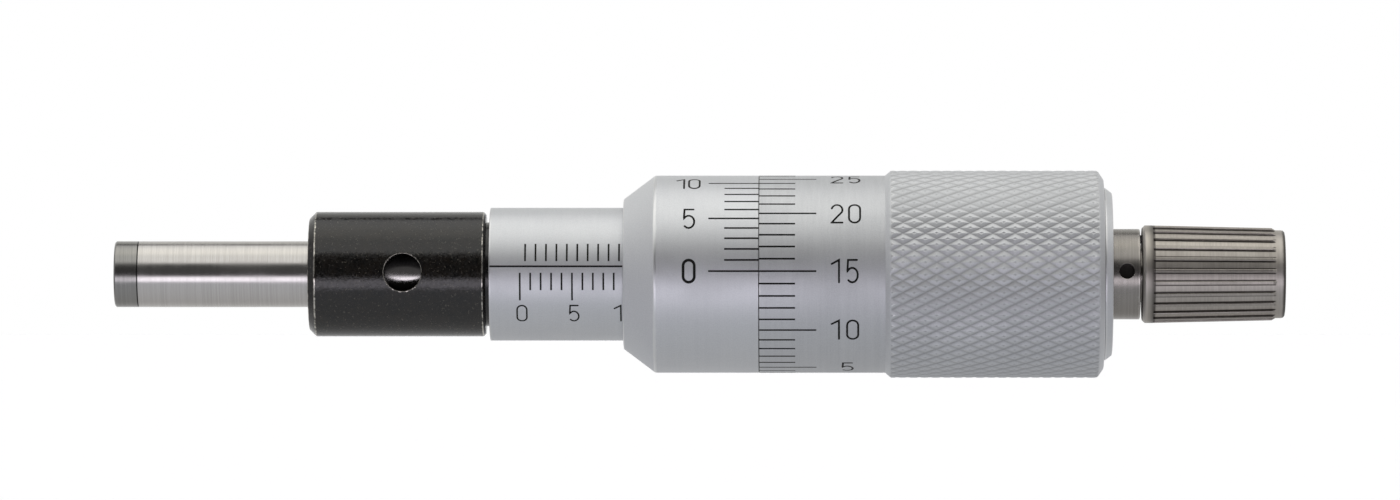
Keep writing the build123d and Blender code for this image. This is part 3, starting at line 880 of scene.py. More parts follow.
spanner_hole = {"x": 61.7, "up": 4.2, "half_x": 0.82, "half_up": 14.0, "per_side": 12}
spanner_hole_r, spanner_hole_floor, spanner_rim = 0.75, 2.65, 0.03
journal_r, journal_end, screw_r, screw_hole_start, tail_hole_end = 2.5, 74.6, 1.01, 69.9, 61.8
neck_outline = outline([
    (neck_start, tail_r + clearance),
    (neck_start, neck_r),
    (neck_end, neck_r, 0.1),
    (neck_end, journal_r),
    (journal_end, journal_r),
    (journal_end, screw_r),
    (screw_hole_start, screw_r),
    (screw_hole_start, 0),
    (tail_hole_end, 0),
    (tail_hole_end, tail_r + clearance),
])
neck_outline, neck_ups, neck_cells = windowed(neck_outline, (neck_r,), [spanner_hole], 144)
neck = make_piece(
    "neck_turned",
    [
        turned(neck_outline, neck_ups, keep=neck_cells),
        *blind_hole(spanner_hole, neck_r, spanner_hole_r, spanner_hole_floor, spanner_rim),
    ],
    "spindle_group", ["ratchet_neck"],
)

# %% Knob
knob_front, band_rear, rib_end, knob_end = 63.2, 64.25, 76.05, 76.95
knob_r, floor_front_r, floor_rear_r = 4.7, 4.48, 4.23
rib_count, rib_taper, rib_run_out = 24, 0.25, 0.35
recess_r, recess_floor, knob_bore_r, knob_chamfer = 3.0, 74.5, 2.54, 0.28
step_rings, step_reach, front_reach, rear_reach = (0.03, 0.16, 0.24), 0.2, 0.1, 0.26
rib_flank = [(0.0, 1.0), (0.12, 0.97), (0.165, 0.8), (0.2, 0.0), (0.29, 0.0), (0.35, 0.0)]
foot_shade, foot_depth, flats = (0.2, 1.0, 1.0, 0.0), 0.1, {-7.5, -5.0, 5.0}

knob_outline = outline([
    (knob_front, knob_bore_r),
    (knob_front, knob_r - knob_chamfer, 0.04),
    (knob_front + knob_chamfer, knob_r, 0.05),
    (band_rear, knob_r, 0.0),
    (band_rear + step_rings[0], floor_front_r, 0.0),
    (band_rear + step_rings[1], floor_front_r, 0.0),
    *run((band_rear + step_rings[2], floor_front_r), (rib_end - rib_run_out, floor_rear_r), 10),
    *run((rib_end - rib_run_out, floor_rear_r), (rib_end, floor_rear_r), 4),
    (rib_end, floor_rear_r, 0.0),
    (knob_end, floor_rear_r, 0.42),
    (knob_end, recess_r, 0.05),
    (recess_floor, recess_r),
    (recess_floor, knob_bore_r),
])
flank_across, rib_shares = zip(*rib_flank)
flank_angles = [math.degrees(across / knob_r) for across in flank_across]
rib_period, rib_first_up = 360 / rib_count, spanner_hole["up"]
rib_columns = sorted({s * a for a in flank_angles for s in (-1, 1)} | flats)
rib_ups = rib_first_up + rib_period * np.arange(rib_count)
knob_ups = (rib_ups[:, None] + np.array(rib_columns)).ravel()
knob_ups = np.append(knob_ups, knob_ups[0] + 360)


def ribbed(shape, ups):
    """Radii with the ribs: r + share(angle off the rib) * (rib's top at x - r).

    The other results are painted shade, at the ribs' feet, the step and the rims, and painted
    highlights on the crests.
    """
    x, r, _ = ring_columns(shape)
    off = (ups - rib_first_up + rib_period / 2) % rib_period - rib_period / 2
    share = np.interp(abs(off), flank_angles, rib_shares)
    crest = np.interp(
        x, [band_rear, rib_end - rib_run_out, rib_end],
        [knob_r, knob_r - rib_taper, floor_rear_r],
    )
    outside = r > recess_r + 0.5
    on_ribs = (x > band_rear) & (x < rib_end) & outside
    radii = np.where(on_ribs, r + share * (crest - r), r)
    # Painted shade: the ribs' feet, the step behind the band and both rims are darkened.
    foot = np.interp(abs(off), flank_angles[-4:], foot_shade)
    depth = np.where(on_ribs, foot * np.clip((crest - r) / foot_depth, 0, 1), 0)
    step_line = (x > band_rear - hair) & (x < band_rear + step_reach) & outside
    front_rim = (x < knob_front + front_reach) & (r > knob_r - 0.5)
    rear_rim = (x > knob_end - rear_reach) & (r > recess_r + 0.6)
    depth = np.maximum(depth, 0.9 * step_line + 0.8 * front_rim + rear_rim)
    # Painted highlight: a strip along each rib's crest is marked as a worn edge.
    crest_highlight = np.where(on_ribs & (share > 0.7) & (share < 0.9), 0.7, 0.0)
    return radii, depth, crest_highlight


# The knob's painted shade goes into `hollow` and its painted crest highlights into `edge`.
knob_radii, knob_shade, knob_highlight = ribbed(knob_outline, knob_ups)
knob_patch = turned(knob_outline, knob_ups, knob_radii, hollow=knob_shade)
knob_patch[2][:] = np.maximum(knob_patch[2], knob_highlight.ravel())
knob = make_piece(
    "knob_ribbed", [knob_patch], "ratchet_knob", ["ratchet_knob"],
    sharp_from=30,
)

# %% [markdown]
# ## Spring of the ratchet
# A coil spring presses the pawl against the knob's teeth. When the pawl gives way, the spring gets
# shorter, so a rigid spring would be cut through by it. Here a round wire is carried along a
# helix in the space of the CAD's spring, and it keeps that shape when the pawl moves.

# %% Ratchet spring
coil_turns, coil_wire_r, pawl_travel = 6, 0.09, 0.4


def coil_patch(low, high, turns, wire_r, per_turn=24, around=8):
    """A wire on a helix that fills a box along X, closed at both ends.

    Middle(t) = (low + t * length, mean_r cos(2 pi turns t), mean_r sin(2 pi turns t)), and the
    ring at t is wire_r * (outward cos(f) + across sin(f)) round it.
    """
    _, mid_y, mid_z = (low + high) / 2
    mean_r = (high[2] - low[2]) / 2 - wire_r
    t = np.linspace(0, 1, turns * per_turn + 1)
    turned_by = 2 * np.pi * turns * t
    outward = np.stack([0 * t, np.cos(turned_by), np.sin(turned_by)], axis=1)
    x = low[0] + wire_r + t * (high[0] - low[0] - 2 * wire_r)
    middle = np.stack([x, mid_y + 0 * t, mid_z + 0 * t], axis=1) + mean_r * outward
    heading = np.gradient(middle, axis=0)
    across = np.cross(heading / np.linalg.norm(heading, axis=1)[:, None], outward)
    f = np.linspace(0, 2 * np.pi, around + 1)[None, :, None]
    rings = middle[:, None] + wire_r * (np.cos(f) * outward[:, None] + np.sin(f) * across[:, None])
    first, last = (np.repeat(middle[end][None, None], around + 1, axis=1) for end in (0, -1))
    return grid_patch(np.concatenate([first, rings, last]))


spring_low, spring_high = (np.array(corner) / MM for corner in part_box("ratchet_spring"))
spring = make_piece(
    "spring_coil", [coil_patch(spring_low, spring_high, coil_turns, coil_wire_r)],
    "spindle_group", ["ratchet_spring"],
)
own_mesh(spring)

# %% [markdown]
# ## Numbers on the scales
# The numbers are engraved with a round cutter, so every stroke has one width and round ends. Each
# figure is a list of paths in millimetres, `w` wide and `h` high. A path becomes a thin strip
# that is bent onto its cylinder: across the figure is along X, and up is an angle of arc / radius.

# %% Figures
def bend(cx, cy, rx, ry, start, end, count=12):
    """Part of an ellipse round (cx, cy), from one angle to another in degrees."""
    t = np.radians(np.linspace(start, end, count + 1))
    return np.stack([cx + rx * np.cos(t), cy + ry * np.sin(t)], axis=1)


def figure(digit, w, h):
    """Width taken up by a figure, and its paths, each with whether it closes on itself."""
    if digit == "0":
        half = w / 2
        top = bend(half, h - half, half, half, 0, 180)
        return w, [(np.concatenate([top, bend(half, half, half, half, 180, 360)]), True)]
    if digit == "1":
        stem = 0.66 * w
        return 0.8 * w, [(np.array([(0, 0.82 * h), (stem, h), (stem, 0)]), False)]
    if digit == "2":
        wide = 0.97 * w
        top = bend(wide / 2, h - 0.3 * h, wide / 2, 0.3 * h, 165, -25)
        return wide, [(np.concatenate([top, [(0, 0), (wide, 0)]]), False)]
    if digit == "3":
        upper = bend(0.46 * w, 0.76 * h, 0.42 * w, 0.24 * h, 160, -80)
        lower = bend(0.46 * w, 0.27 * h, 0.48 * w, 0.27 * h, 80, -160)
        return 0.94 * w, [(np.concatenate([upper, lower]), False)]
    if digit == "4":
        bar = np.array([(0.6 * w, h), (0, 0.27 * h), (w, 0.27 * h)])
        return w, [(bar, False), (np.array([(0.72 * w, 0.52 * h), (0.72 * w, 0)]), False)]
    bowl = bend(0.46 * w, 0.325 * h, 0.5 * w, 0.325 * h, 150, -135)
    return 0.96 * w, [(np.concatenate([[(0.88 * w, h), (0.08 * w, h)], bowl]), False)]


def spaced(path, closed, step=0.12):
    """The path with points set in so that none lie further apart than `step`."""
    if closed:
        path = np.concatenate([path, path[:1]])
    lengths = np.linalg.norm(np.diff(path, axis=0), axis=1)
    path = path[np.append(True, lengths > 1e-6)]
    lengths = lengths[lengths > 1e-6]
    at = np.append(0, np.cumsum(lengths))
    places = [np.linspace(a, b, int((b - a) / step) + 2)[:-1] for a, b in zip(at, at[1:])]
    places = np.append(np.concatenate(places), at[-1])
    return np.stack([np.interp(places, at, path[:, k]) for k in (0, 1)], axis=1)


def strip_edges(path, closed, width):
    """Left and right edges of a stroke, with mitred corners and, if it is open, round ends."""
    steps = np.diff(path, axis=0)
    steps /= np.linalg.norm(steps, axis=1)[:, None]
    first, last = (steps[-1:], steps[:1]) if closed else (steps[:1], steps[-1:])
    before, after = np.concatenate([first, steps]), np.concatenate([steps, last])
    along = before + after
    along /= np.linalg.norm(along, axis=1)[:, None]
    reach = width / 2 / np.clip(np.einsum("ij,ij->i", along, after), 0.55, 1)
    if not closed:
        t = np.radians([90, 60, 30])
        head = path[0] - np.sin(t)[:, None] * steps[0] * width / 2
        tail = path[-1] + np.sin(t[::-1])[:, None] * steps[-1] * width / 2
        path = np.concatenate([head, path, tail])
        along = np.concatenate([np.repeat(first, 3, 0), along, np.repeat(last, 3, 0)])
        reach = np.concatenate([np.cos(t) * width / 2, reach, np.cos(t[::-1]) * width / 2])
    side = np.stack([-along[:, 1], along[:, 0]], axis=1) * reach[:, None]
    return path + side, path - side


def stroke_patch(path, closed, width, radius, x, up, depth=0.04):
    """A stroke as a thin closed strip on a cylinder, its top on the radius."""
    left, right = strip_edges(spaced(path, closed), closed, width)
    rounds = [(left, radius), (right, radius), (right, radius - depth), (left, radius - depth)]
    rings = [
        place(x + edge[:, 0], r, up + np.degrees(edge[:, 1] / radius)) for edge, r in rounds
    ]
    return grid_patch(np.stack(rings + rings[:1], axis=1))


def number_patches(text, size, radius, x, up, from_left=False):
    """Strips of a whole number. x is its middle, or its left edge, and up is its mid-height."""
    w, h, stroke, gap = size
    w, h = w - stroke, h - stroke
    figures = [figure(digit, w, h) for digit in text]
    total = sum(f[0] for f in figures) + (len(figures) - 1) * (gap + stroke)
    left = x + stroke / 2 if from_left else x - total / 2
    patches = []
    for wide, paths in figures:
        for path, closed in paths:
            low = path - (0, h / 2)
            patches.append(stroke_patch(low, closed, stroke, radius, left, up))
        left += wide + gap + stroke
    return patches


# %% [markdown]
# The numbers of the sleeve stand below its index line, those of the vernier at its long lines,
# and those of the dial at every fifth of its fifty lines, counting upwards past the front.

# %% Numbers
sleeve_figures = (1.08, 1.98, 0.15, 0.44)
drum_figures = (1.25, 2.34, 0.19, 0.44)
bold_figures, close_figures = (1.33, 2.38, 0.26, 0.5), (1.2, 2.34, 0.18, 0.15)
vernier_figures = {
    0: (bold_figures, 19.72),
    5: (drum_figures, 19.72),
    10: (close_figures, 19.62),
}
scale_zero, scale_length, numbered_every, number_shift = 3.5, 25, 5, 0.18
index_up, number_drop = 6.9, 4.8
dial_up, dial_division, vernier_division, dial_reading = 1.9, 7.2, 6.48, 15
dial_lines, vernier_lines = 50, 11
dial_number_left, dial_number_x = 33.27, 34.88


def vernier_line_up(line):
    """The angle up from the front of a vernier line."""
    return dial_up + line * vernier_division


def dial_line_up(line):
    """The angle up from the front of a line of the dial, which stands at its reading."""
    return dial_up + (line - dial_reading) * dial_division


patches = []
for i in range(0, scale_length + 1, numbered_every):
    down = index_up - math.degrees(number_drop / scale_r)
    x = scale_zero + i + number_shift
    patches += number_patches(str(i), sleeve_figures, scale_r, x, down)
sleeve_numbers = make_piece("sleeve_numbers", patches, "barrel")

patches = []
for i, (size, x) in vernier_figures.items():
    patches += number_patches(str(i), size, dial_r, x, vernier_line_up(i))
vernier_numbers = make_piece("vernier_numbers", patches, "vernier_carriage")

patches = []
for i in range(0, dial_lines, numbered_every):
    two = i >= 10
    x = dial_number_left if two else dial_number_x
    patches += number_patches(str(i), drum_figures, dial_r, x, dial_line_up(i), from_left=two)
dial_numbers = make_piece("dial_numbers", patches, "spindle_group")

# %% [markdown]
# ## Marks of the scales
# The CAD's marks fill their grooves exactly. On a real scale a little of the filling stays on the
# rims of each groove, so these marks are a few hundredths of a millimetre wider. Each is a thin
# block bent round the cylinder, and its two ends close in a point half way down.

# %% Marks
mark_width, mark_depth, mark_step = 0.17, 0.045, 1.5
index_start, index_overrun = 0.58, 1.5
mark_gap, mark_length, long_mark_length = 0.62, 1.68, 2.71
half_mark_gap, half_mark_length = 0.5, 1.76
vernier_mark_length, vernier_long_mark_length = 3.29, 4.82
dial_mark_length, dial_long_mark_length = 3.46, 5.49


def mark_patch(x_low, x_high, up_low, up_high, radius):
    """A thin block flush with a cylinder, between two stations and two angles."""
    ups = np.linspace(up_low, up_high, int((up_high - up_low) / mark_step) + 2)
    ups = np.concatenate([ups[:1], ups, ups[-1:]])
    corners = [(x_low, 0), (x_high, 0), (x_high, mark_depth), (x_low, mark_depth), (x_low, 0)]
    x, down = (np.repeat(row[:, None], len(ups), axis=1) for row in np.array(corners, float).T)
    x[:, [0, -1]], down[:, [0, -1]] = (x_low + x_high) / 2, mark_depth / 2
    return grid_patch(place(x, radius - down, ups[None, :]))


def mark_along(x_low, x_high, up, radius):
    """A mark that runs along the axis."""
    half = math.degrees(mark_width / 2 / radius)
    return mark_patch(x_low, x_high, up - half, up + half, radius)


def mark_round(x, gap, length, radius):
    """A mark that runs round the sleeve from a gap off the index line. Up counts as positive."""
    ends = sorted(index_up + math.degrees(arc / radius) for arc in (gap, gap + length))
    return mark_patch(x - mark_width / 2, x + mark_width / 2, *ends, radius)


def lines_of(count, length, long_length):
    """The lines of a scale in order, each with its length, which is longer where a number is."""
    return [(i, long_length if i % numbered_every == 0 else length) for i in range(count)]


patches = [mark_along(index_start, scale_zero + scale_length + index_overrun, index_up, scale_r)]
for i, length in lines_of(scale_length + 1, mark_length, long_mark_length):
    patches.append(mark_round(scale_zero + i, -mark_gap, -length, scale_r))
for i in range(scale_length):
    patches.append(mark_round(scale_zero + i + 0.5, half_mark_gap, half_mark_length, scale_r))
sleeve_marks = make_piece(
    "sleeve_marks", patches, "barrel", ["sleeve_scale_marks"],
)
vernier_marks = make_piece(
    "vernier_marks",
    [
        mark_along(drum_end - length, drum_end, vernier_line_up(i), dial_r)
        for i, length in lines_of(vernier_lines, vernier_mark_length, vernier_long_mark_length)
    ],
    "vernier_carriage", ["vernier_scale_marks"],
)
dial_marks = make_piece(
    "dial_marks",
    [
        mark_along(thimble_front, thimble_front + length, dial_line_up(i), dial_r)
        for i, length in lines_of(dial_lines, dial_mark_length, dial_long_mark_length)
    ],
    "spindle_group", ["thimble_scale_marks"],
)

# %% [markdown]
# ## Effects that several finishes share
# Each effect is a node group with named inputs and outputs. The place on the piece comes in as
# Object coordinates, so the grain stays on the metal when a joint moves it.

# %% Group helpers
def new_group(name, inputs, outputs):
    """An empty node group, its inputs' sockets by name, and the node that takes its results."""
    group = bpy.data.node_groups.new(name, "ShaderNodeTree")
    kinds = {"vector": "NodeSocketVector", "value": "NodeSocketFloat", "colour": "NodeSocketColor"}
    for label, kind, value in inputs:
        socket = group.interface.new_socket(label, in_out="INPUT", socket_type=kinds[kind])
        if value is not None:
            socket.default_value = value
    for label, kind in outputs:
        group.interface.new_socket(label, in_out="OUTPUT", socket_type=kinds[kind])
    given, result = add(group, "NodeGroupInput"), add(group, "NodeGroupOutput")
    return group, given.outputs, result


def noise(tree, vector, detail, roughness):
    """Smooth noise from 0 to 1 at a vector."""
    inputs = {"Vector": vector, "Scale": 1.0, "Detail": detail, "Roughness": roughness}
    return add(tree, "ShaderNodeTexNoise", inputs).outputs["Fac"]


def scaled(tree, vector, per_mm):
    """A place in metres turned into one in marks: vector * per_mm * 1000."""
    inputs = {0: vector, "Scale": maths(tree, "MULTIPLY", per_mm, MM_PER_M)}
    return add(tree, "ShaderNodeVectorMath", inputs, operation="SCALE").outputs[0]


# %% [markdown]
# Turning and grinding leave fine rings round the axis. They change quickly along X and with the
# distance from the axis, and hardly at all round it, so the noise reads (x, r, a little of the
# direction) in place of (x, y, z).

# %% Turning marks
turning, given, result = new_group(
    "turning_marks",
    [("Place", "vector", None), ("Marks per mm", "value", 6.0), ("Waviness", "value", 0.8)],
    [("Tone", "value"), ("Height", "value")],
)
x, y, z = add(turning, "ShaderNodeSeparateXYZ", {0: given["Place"]}).outputs
squares = maths(turning, "ADD", maths(turning, "MULTIPLY", y, y), maths(turning, "MULTIPLY", z, z))
away = maths(turning, "SQRT", squares)
per_m = maths(turning, "MULTIPLY", given["Marks per mm"], MM_PER_M)
lean = maths(turning, "DIVIDE", maths(turning, "ADD", z, y), maths(turning, "ADD", away, 1e-5))
rings = add(turning, "ShaderNodeCombineXYZ", {
    0: maths(turning, "MULTIPLY", x, per_m),
    1: maths(turning, "MULTIPLY", away, per_m),
    2: maths(turning, "MULTIPLY", lean, given["Waviness"]),
})
ring_noise = noise(turning, rings.outputs[0], 3.0, 0.7)
feed(turning, result, {"Tone": spread(turning, ring_noise, 0.3, 0.7), "Height": ring_noise})

# %% [markdown]
# Satin chrome is blasted before it is plated. It has a fine even grain in all directions, and
# the grain is what keeps its stripes of light soft.

# %% Satin grain
satin, given, result = new_group(
    "satin_grain",
    [("Place", "vector", None), ("Grains per mm", "value", 9.0)],
    [("Tone", "value"), ("Height", "value")],
)
grains = noise(satin, scaled(satin, given["Place"], given["Grains per mm"]), 2.0, 0.6)
feed(satin, result, {"Tone": spread(satin, grains, 0.3, 0.7), "Height": grains})

# %% [markdown]
# Hands and fixtures rub the edges first. Each piece carries an `edge` value that is 1 on its
# rounded edges and fades beside them. Noise eats into it, so that the worn line is broken. On
# the knob's rib crests and the teeth at the knurl's ends the same value paints highlights.

# %% Edge wear, painted highlights and smudges
wear_and_highlight_group, given, result = new_group(
    "edge_wear_and_highlights",
    [("Edge", "value", 0.0), ("Place", "vector", None), ("Patches per mm", "value", 1.5),
     ("Amount", "value", 0.6)],
    [("Mask", "value")],
)
patchy = noise(wear_and_highlight_group, scaled(wear_and_highlight_group, given["Place"], given["Patches per mm"]), 4.0, 0.65)
push = maths(wear_and_highlight_group, "MULTIPLY_ADD", patchy, 1.6, -0.8)
level = maths(wear_and_highlight_group, "ADD", maths(wear_and_highlight_group, "ADD", given["Edge"], push), given["Amount"])
feed(wear_and_highlight_group, result, {"Mask": spread(wear_and_highlight_group, level, 1.05, 1.45)})

smudge, given, result = new_group(
    "handling_smudges",
    [("Place", "vector", None), ("Smudges per mm", "value", 0.15)],
    [("Mask", "value")],
)
cloud = noise(smudge, scaled(smudge, given["Place"], given["Smudges per mm"]), 4.0, 0.6)
feed(smudge, result, {"Mask": spread(smudge, cloud, 0.35, 0.65)})
print("groups", [g.name for g in bpy.data.node_groups])

# %% [markdown]
# ## Finishes
# Every finish is a Principled BSDF with the groups feeding its colour, roughness and normal.
# Darkened hollows, partly painted shade, worn edges, partly painted highlights, and smudges are
# laid on in the same way on each metal, so they are functions. Most of the metals differ only
# in their tones and marks, and `metal` makes them all.

# %% Material helpers
def start_material(name, metallic, roughness):
    """A material, its tree, its Principled BSDF and the Object coordinates on the piece."""
    material = bpy.data.materials.new(name)
    material.use_nodes = True
    tree = material.node_tree
    shader = tree.nodes["Principled BSDF"]
    feed(tree, shader, {"Metallic": metallic, "Roughness": roughness})
    return material, tree, shader, add(tree, "ShaderNodeTexCoord").outputs["Object"]


def use(tree, group, **values):
    """A group placed in a material. An underscore in a name stands for a space."""
    inputs = {label.replace("_", " "): value for label, value in values.items()}
    return add(tree, "ShaderNodeGroup", node_tree=group, inputs=inputs).outputs


def relief(tree, shader, height, depth_mm, before=None):
    """Bump of a real depth in mm, laid over an earlier one if given."""
    earlier = {} if before is None else {"Normal": before}
    inputs = {"Strength": 1.0, "Distance": depth_mm * MM, "Height": height, **earlier}
    bump = add(tree, "ShaderNodeBump", inputs).outputs[0]
    feed(tree, shader, {"Normal": bump})
    return bump


def piece_value(tree, name):
    """A value that the piece's own points carry, such as `edge` or `hollow`."""
    return add(tree, "ShaderNodeAttribute", attribute_name=name).outputs["Fac"]


def dirtied(tree, base, share, colour):
    """A colour darkened towards another one by the piece's `hollow` value.

    That value marks the brazed joint, the keyway and the holes, and it is painted shade in the gaps
    between parts, on the knob and in the knurl's crest pits.
    """
    darkening = maths(tree, "MULTIPLY", piece_value(tree, "hollow"), share)
    return blend_colours(tree, darkening, base, colour)


def rubbed(tree, where, per_mm, amount):
    """A mask of the edges that are worn bright, and of the painted highlights, broken into patches.
    """
    edge = piece_value(tree, "edge")
    return use(tree, wear_and_highlight_group, Edge=edge, Place=where, Patches_per_mm=per_mm, Amount=amount)["Mask"]


def smudged(tree, where, per_mm, low, high):
    """Roughness from low to high in soft clouds, as hands leave it."""
    cloud = use(tree, smudge, Place=where, Smudges_per_mm=per_mm)["Mask"]
    return spread(tree, cloud, 0, 1, low, high)


def metal(name, dull, bright, rough, marks, depth_mm, clouds, darkening=None, wear_and_highlight=None):
    """Metal of two close tones, with its marks in the normal and smudges in its roughness.

    marks is (group, its values), clouds is (smudges per mm, roughness down, roughness up), the
    darkening of hollows is (share, colour) and is partly painted shade, and the worn edges, with
    some painted highlights, are (patches per mm, amount, share, colour).
    """
    material, tree, shader, where = start_material(name, 1.0, rough)
    group, values = marks
    texture = use(tree, group, Place=where, **values)
    base = blend_colours(tree, texture["Tone"], dull, bright)
    if darkening:
        base = dirtied(tree, base, *darkening)
    if wear_and_highlight:
        per_mm, amount, share, colour = wear_and_highlight
        share = maths(tree, "MULTIPLY", rubbed(tree, where, per_mm, amount), share)
        base = blend_colours(tree, share, base, colour)
    per_mm, down, up = clouds
    roughness = smudged(tree, where, per_mm, rough - down, rough + up)
    feed(tree, shader, {"Base Color": base, "Roughness": roughness})
    relief(tree, shader, texture["Height"], depth_mm)
    return material


# %% [markdown]
# The spindle is ground and lapped, so its stripes are sharp, with fine rings across them. The
# hard tip is the same but darker, since tungsten carbide reflects less than steel.

# %% Ground steel and hard metal
def ground_metal(name, dull, bright, marks_per_mm):
    """Ground metal: fine shallow rings, and a dark film in its joint."""
    marks = turning, {"Marks_per_mm": marks_per_mm, "Waviness": 0.5}
    return metal(
        name, dull, bright, 0.2, marks, 0.0015, (0.2, 0.02, 0.05), darkening=(1.0, (0.03, 0.03, 0.03))
    )


ground_steel = ground_metal("ground_steel", (0.59, 0.57, 0.55), (0.66, 0.64, 0.62), 8.0)
hard_metal = ground_metal("hard_metal", (0.31, 0.305, 0.293), (0.36, 0.354, 0.34), 5.0)

# %% [markdown]
# Satin chrome covers the sleeve, drum and thimble. The thimble is handled most, and its coat is
# duller and greyer than the drum's. In the knurl the grooves are darker, the pits on the
# diamonds' crests get painted shade, and the teeth at the grip's turned ends get painted
# highlights and are smoother. Painted shade also darkens the gaps between the drum, the thimble
# and the hub. The knurl and the drum's cone were blasted coarser before they were plated, so
# they mirror less and look flatter than the bands beside them, and their colour is made lighter
# than that chrome as painted light.

# %% Satin chrome
def satin_chrome(name, dull, bright, rough, darkening_share):
    """Satin chrome: a fine grain of two tones, faint rings, darkened hollows and worn bright edges.

    The hollows hold painted shade in the gaps between parts and in the knurl's pits, and the worn
    edges paint highlights on the teeth at the knurl's ends.
    """
    material, tree, shader, where = start_material(name, 1.0, rough)
    grain = use(tree, satin, Place=where, Grains_per_mm=9.0)
    rings = use(tree, turning, Place=where, Marks_per_mm=2.5, Waviness=1.5)
    base = blend_colours(tree, grain["Tone"], dull, bright)
    faint = maths(tree, "MULTIPLY", rings["Tone"], 0.25)
    base = blend_colours(tree, faint, base, (0.83, 0.842, 0.865))
    # The hollows' dark colour: painted shade in the gaps between parts and in the knurl's crest
    # pits.
    base = dirtied(tree, base, darkening_share, (0.16, 0.16, 0.165))
    # Worn edges turn lighter and smoother; on the knurl's end teeth this is a painted highlight.
    wear_and_highlight = rubbed(tree, where, 1.2, 0.55)
    base = blend_colours(tree, maths(tree, "MULTIPLY", wear_and_highlight, 0.35), base, (0.88, 0.88, 0.88))
    satin_rough = smudged(tree, where, 0.12, rough, rough + 0.05)
    roughness = spread(tree, wear_and_highlight, 0, 1, satin_rough, 0.4)
    feed(tree, shader, {"Base Color": base, "Roughness": roughness})
    relief(tree, shader, grain["Height"], 0.004)
    return material


# The cone and knurl copies are lighter than the chrome beside them: painted light.
chrome, dial_chrome, cone_chrome_painted_light, knurl_chrome_painted_light = (satin_chrome(*row) for row in (
    ("satin_chrome", (0.73, 0.744, 0.772), (0.785, 0.80, 0.828), 0.5, 0.6),
    ("thimble_chrome", (0.655, 0.668, 0.692), (0.715, 0.728, 0.752), 0.55, 0.3),
    ("cone_chrome_painted_light", (0.83, 0.844, 0.87), (0.88, 0.892, 0.915), 0.66, 0.6),
    ("knurl_chrome_painted_light", (0.74, 0.753, 0.778), (0.80, 0.813, 0.836), 0.6, 0.4),
))

# %% [markdown]
# The stem is blackened in a bath. The oxide is a thin dark skin with a faint brown bloom, and on
# its edges it is worn through to the steel. The dark skin reflects as glass does, so the material
# isn't metallic there, and the wear mask makes it metallic where the steel shows.

# %% Black oxide
oxide, tree, shader, where = start_material("black_oxide", 0.0, 0.1)
bloom = use(tree, smudge, Place=where, Smudges_per_mm=1.1)["Mask"]
rings = use(tree, turning, Place=where, Marks_per_mm=4.0, Waviness=2.0)
speckle = use(tree, satin, Place=where, Grains_per_mm=3.5)["Tone"]
base = blend_colours(tree, bloom, (0.0006, 0.0006, 0.0007), (0.008, 0.0055, 0.0035))
speckled = maths(tree, "MULTIPLY", speckle, 0.55)
base = blend_colours(tree, speckled, base, (0.013, 0.0115, 0.0105))
flecks = noise(tree, scaled(tree, where, 4.5), 3.0, 0.6)
flecks = maths(tree, "MULTIPLY", spread(tree, flecks, 0.6, 0.68), 0.6)
base = blend_colours(tree, flecks, base, (0.11, 0.10, 0.085))
wear_and_highlight = rubbed(tree, where, 2.4, 0.3)
feed(tree, shader, {
    "Base Color": blend_colours(tree, wear_and_highlight, base, (0.62, 0.59, 0.54)),
    "Metallic": wear_and_highlight,
    "Roughness": spread(tree, speckle, 0, 1, 0.06, 0.24),
    "IOR": 1.58,
})
relief(tree, shader, speckle, 0.0035, before=relief(tree, shader, rings["Height"], 0.002))

# %% [markdown]
# The wall of the stem's hole is never rubbed. It gets painted shade: a finish of its own, darker
# and duller than the outside, which reflects less.

# %% Painted shade in the hole
hole_shade_black, tree, shader, where = start_material("hole_shade_black", 0.0, 0.6)
rings = use(tree, turning, Place=where, Marks_per_mm=4.0, Waviness=2.0)
base = blend_colours(tree, rings["Tone"], (0.001, 0.001, 0.001), (0.004, 0.003, 0.0022))
feed(tree, shader, {"Base Color": base, "IOR": 1.2})
relief(tree, shader, rings["Height"], 0.003)

# %% [markdown]
# The neck and the knob are turned from stainless steel with a warm grey finish, with coarser
# rings than the spindle's. The flats between the knob's ribs are milled. On the knob, painted
# shade darkens the ribs' feet, the step and the rims, and painted highlights lighten the crests.

# %% Warm turned steel
def warm_turned(name, dull, bright, rough):
    """Turned stainless steel: coarser rings, darkened hollows and worn bright edges.

    On the knob the hollows are painted shade and the worn crests are painted highlights.
    """
    marks = turning, {"Marks_per_mm": 5.0, "Waviness": 0.8}
    # On the knob this dark colour is painted shade, and the worn colour paints the crest
    # highlights.
    return metal(
        name, dull, bright, rough, marks, 0.003, (0.3, 0.03, 0.05),
        darkening=(0.8, (0.022, 0.020, 0.018)), wear_and_highlight=(1.4, 0.75, 0.6, (0.52, 0.49, 0.46)),
    )


warm_neck = warm_turned("warm_neck_steel", (0.28, 0.265, 0.245), (0.34, 0.32, 0.30), 0.25)
warm_knob = warm_turned("warm_knob_steel", (0.47, 0.437, 0.40), (0.55, 0.515, 0.473), 0.44)

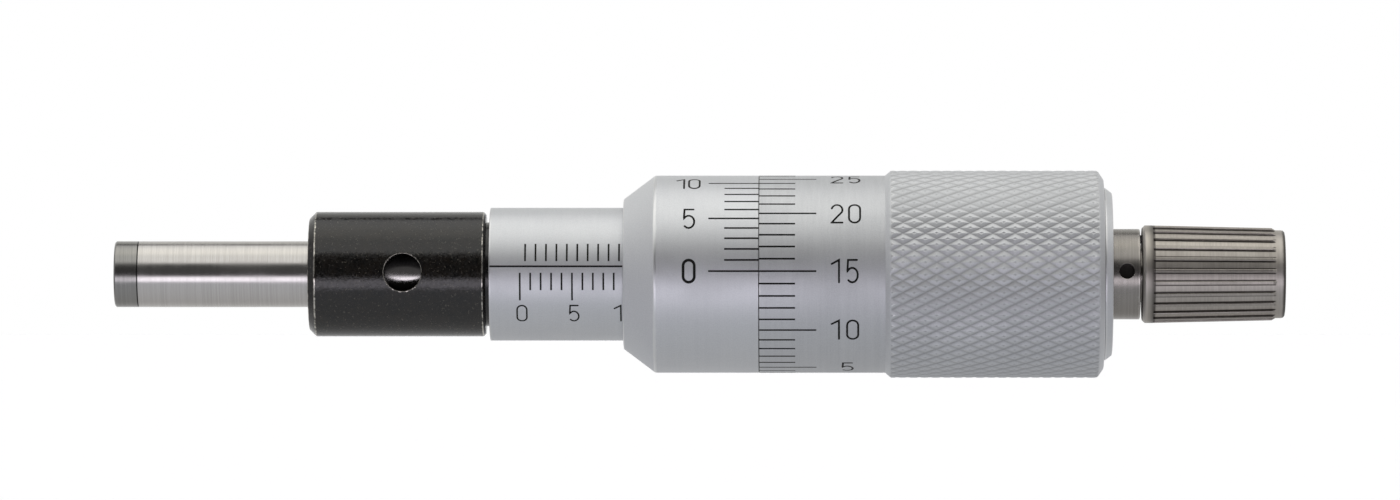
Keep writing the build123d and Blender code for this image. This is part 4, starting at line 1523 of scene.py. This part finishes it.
# %% [markdown]
# The marks and numbers are filled with black paint, and the small parts inside and at the ends
# are plain bright or drawn steel.

# %% Paint and small parts
paint, tree, shader, where = start_material("black_filling", 0.0, 0.5)
speckle = use(tree, satin, Place=where, Grains_per_mm=6.0)["Tone"]
base = blend_colours(tree, speckle, (0.004, 0.004, 0.0045), (0.011, 0.010, 0.0095))
feed(tree, shader, {"Base Color": base, "IOR": 1.3})


def small_part_metal(name, dull, bright, rough):
    """Turned or drawn metal for small parts, with grain and smudges but no edge values."""
    marks = satin, {"Grains_per_mm": 7.0}
    return metal(name, dull, bright, rough, marks, 0.002, (0.5, 0.04, 0.06))


bright_steel = small_part_metal("bright_small_steel", (0.50, 0.50, 0.51), (0.58, 0.58, 0.59), 0.24)
spring_steel = small_part_metal("spring_steel", (0.28, 0.28, 0.29), (0.36, 0.36, 0.37), 0.3)

# %% Put the finishes on
finishes = {
    ground_steel: [spindle],
    hard_metal: [tip],
    chrome: [sleeve, drum, hub],
    dial_chrome: [thimble],
    oxide: [stem],
    warm_neck: [neck],
    warm_knob: [knob],
    spring_steel: [spring],
    paint: [
        sleeve_numbers, vernier_numbers, dial_numbers, sleeve_marks, vernier_marks, dial_marks,
    ],
}
for material, pieces in finishes.items():
    for piece in pieces:
        piece.data.materials.append(material)
second_finishes = [
    (stem, hole_shade_black, stem_hole_faces),
    (drum, cone_chrome_painted_light, faces_outside(drum, nose_x, cone_end, nose_edge_r - 0.1)),
    (thimble, knurl_chrome_painted_light, faces_outside(thimble, band_end, thimble_end, end_r - 0.1)),
]
for piece, material, faces in second_finishes:
    piece.data.materials.append(material)
    piece.data.polygons.foreach_set("material_index", faces.astype(np.int32))

node_finishes = {
    bright_steel: ["adjusting_nut", "guide_key", "key_screws", "knob_washer", "ratchet_screw"],
    spring_steel: ["retaining_ring", "ratchet_pawl"],
}
for material, names in node_finishes.items():
    for name in names:
        for material_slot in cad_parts[name].material_slots:
            material_slot.material = material
print("finishes", len({*finishes, *node_finishes, *(row[1] for row in second_finishes)}))
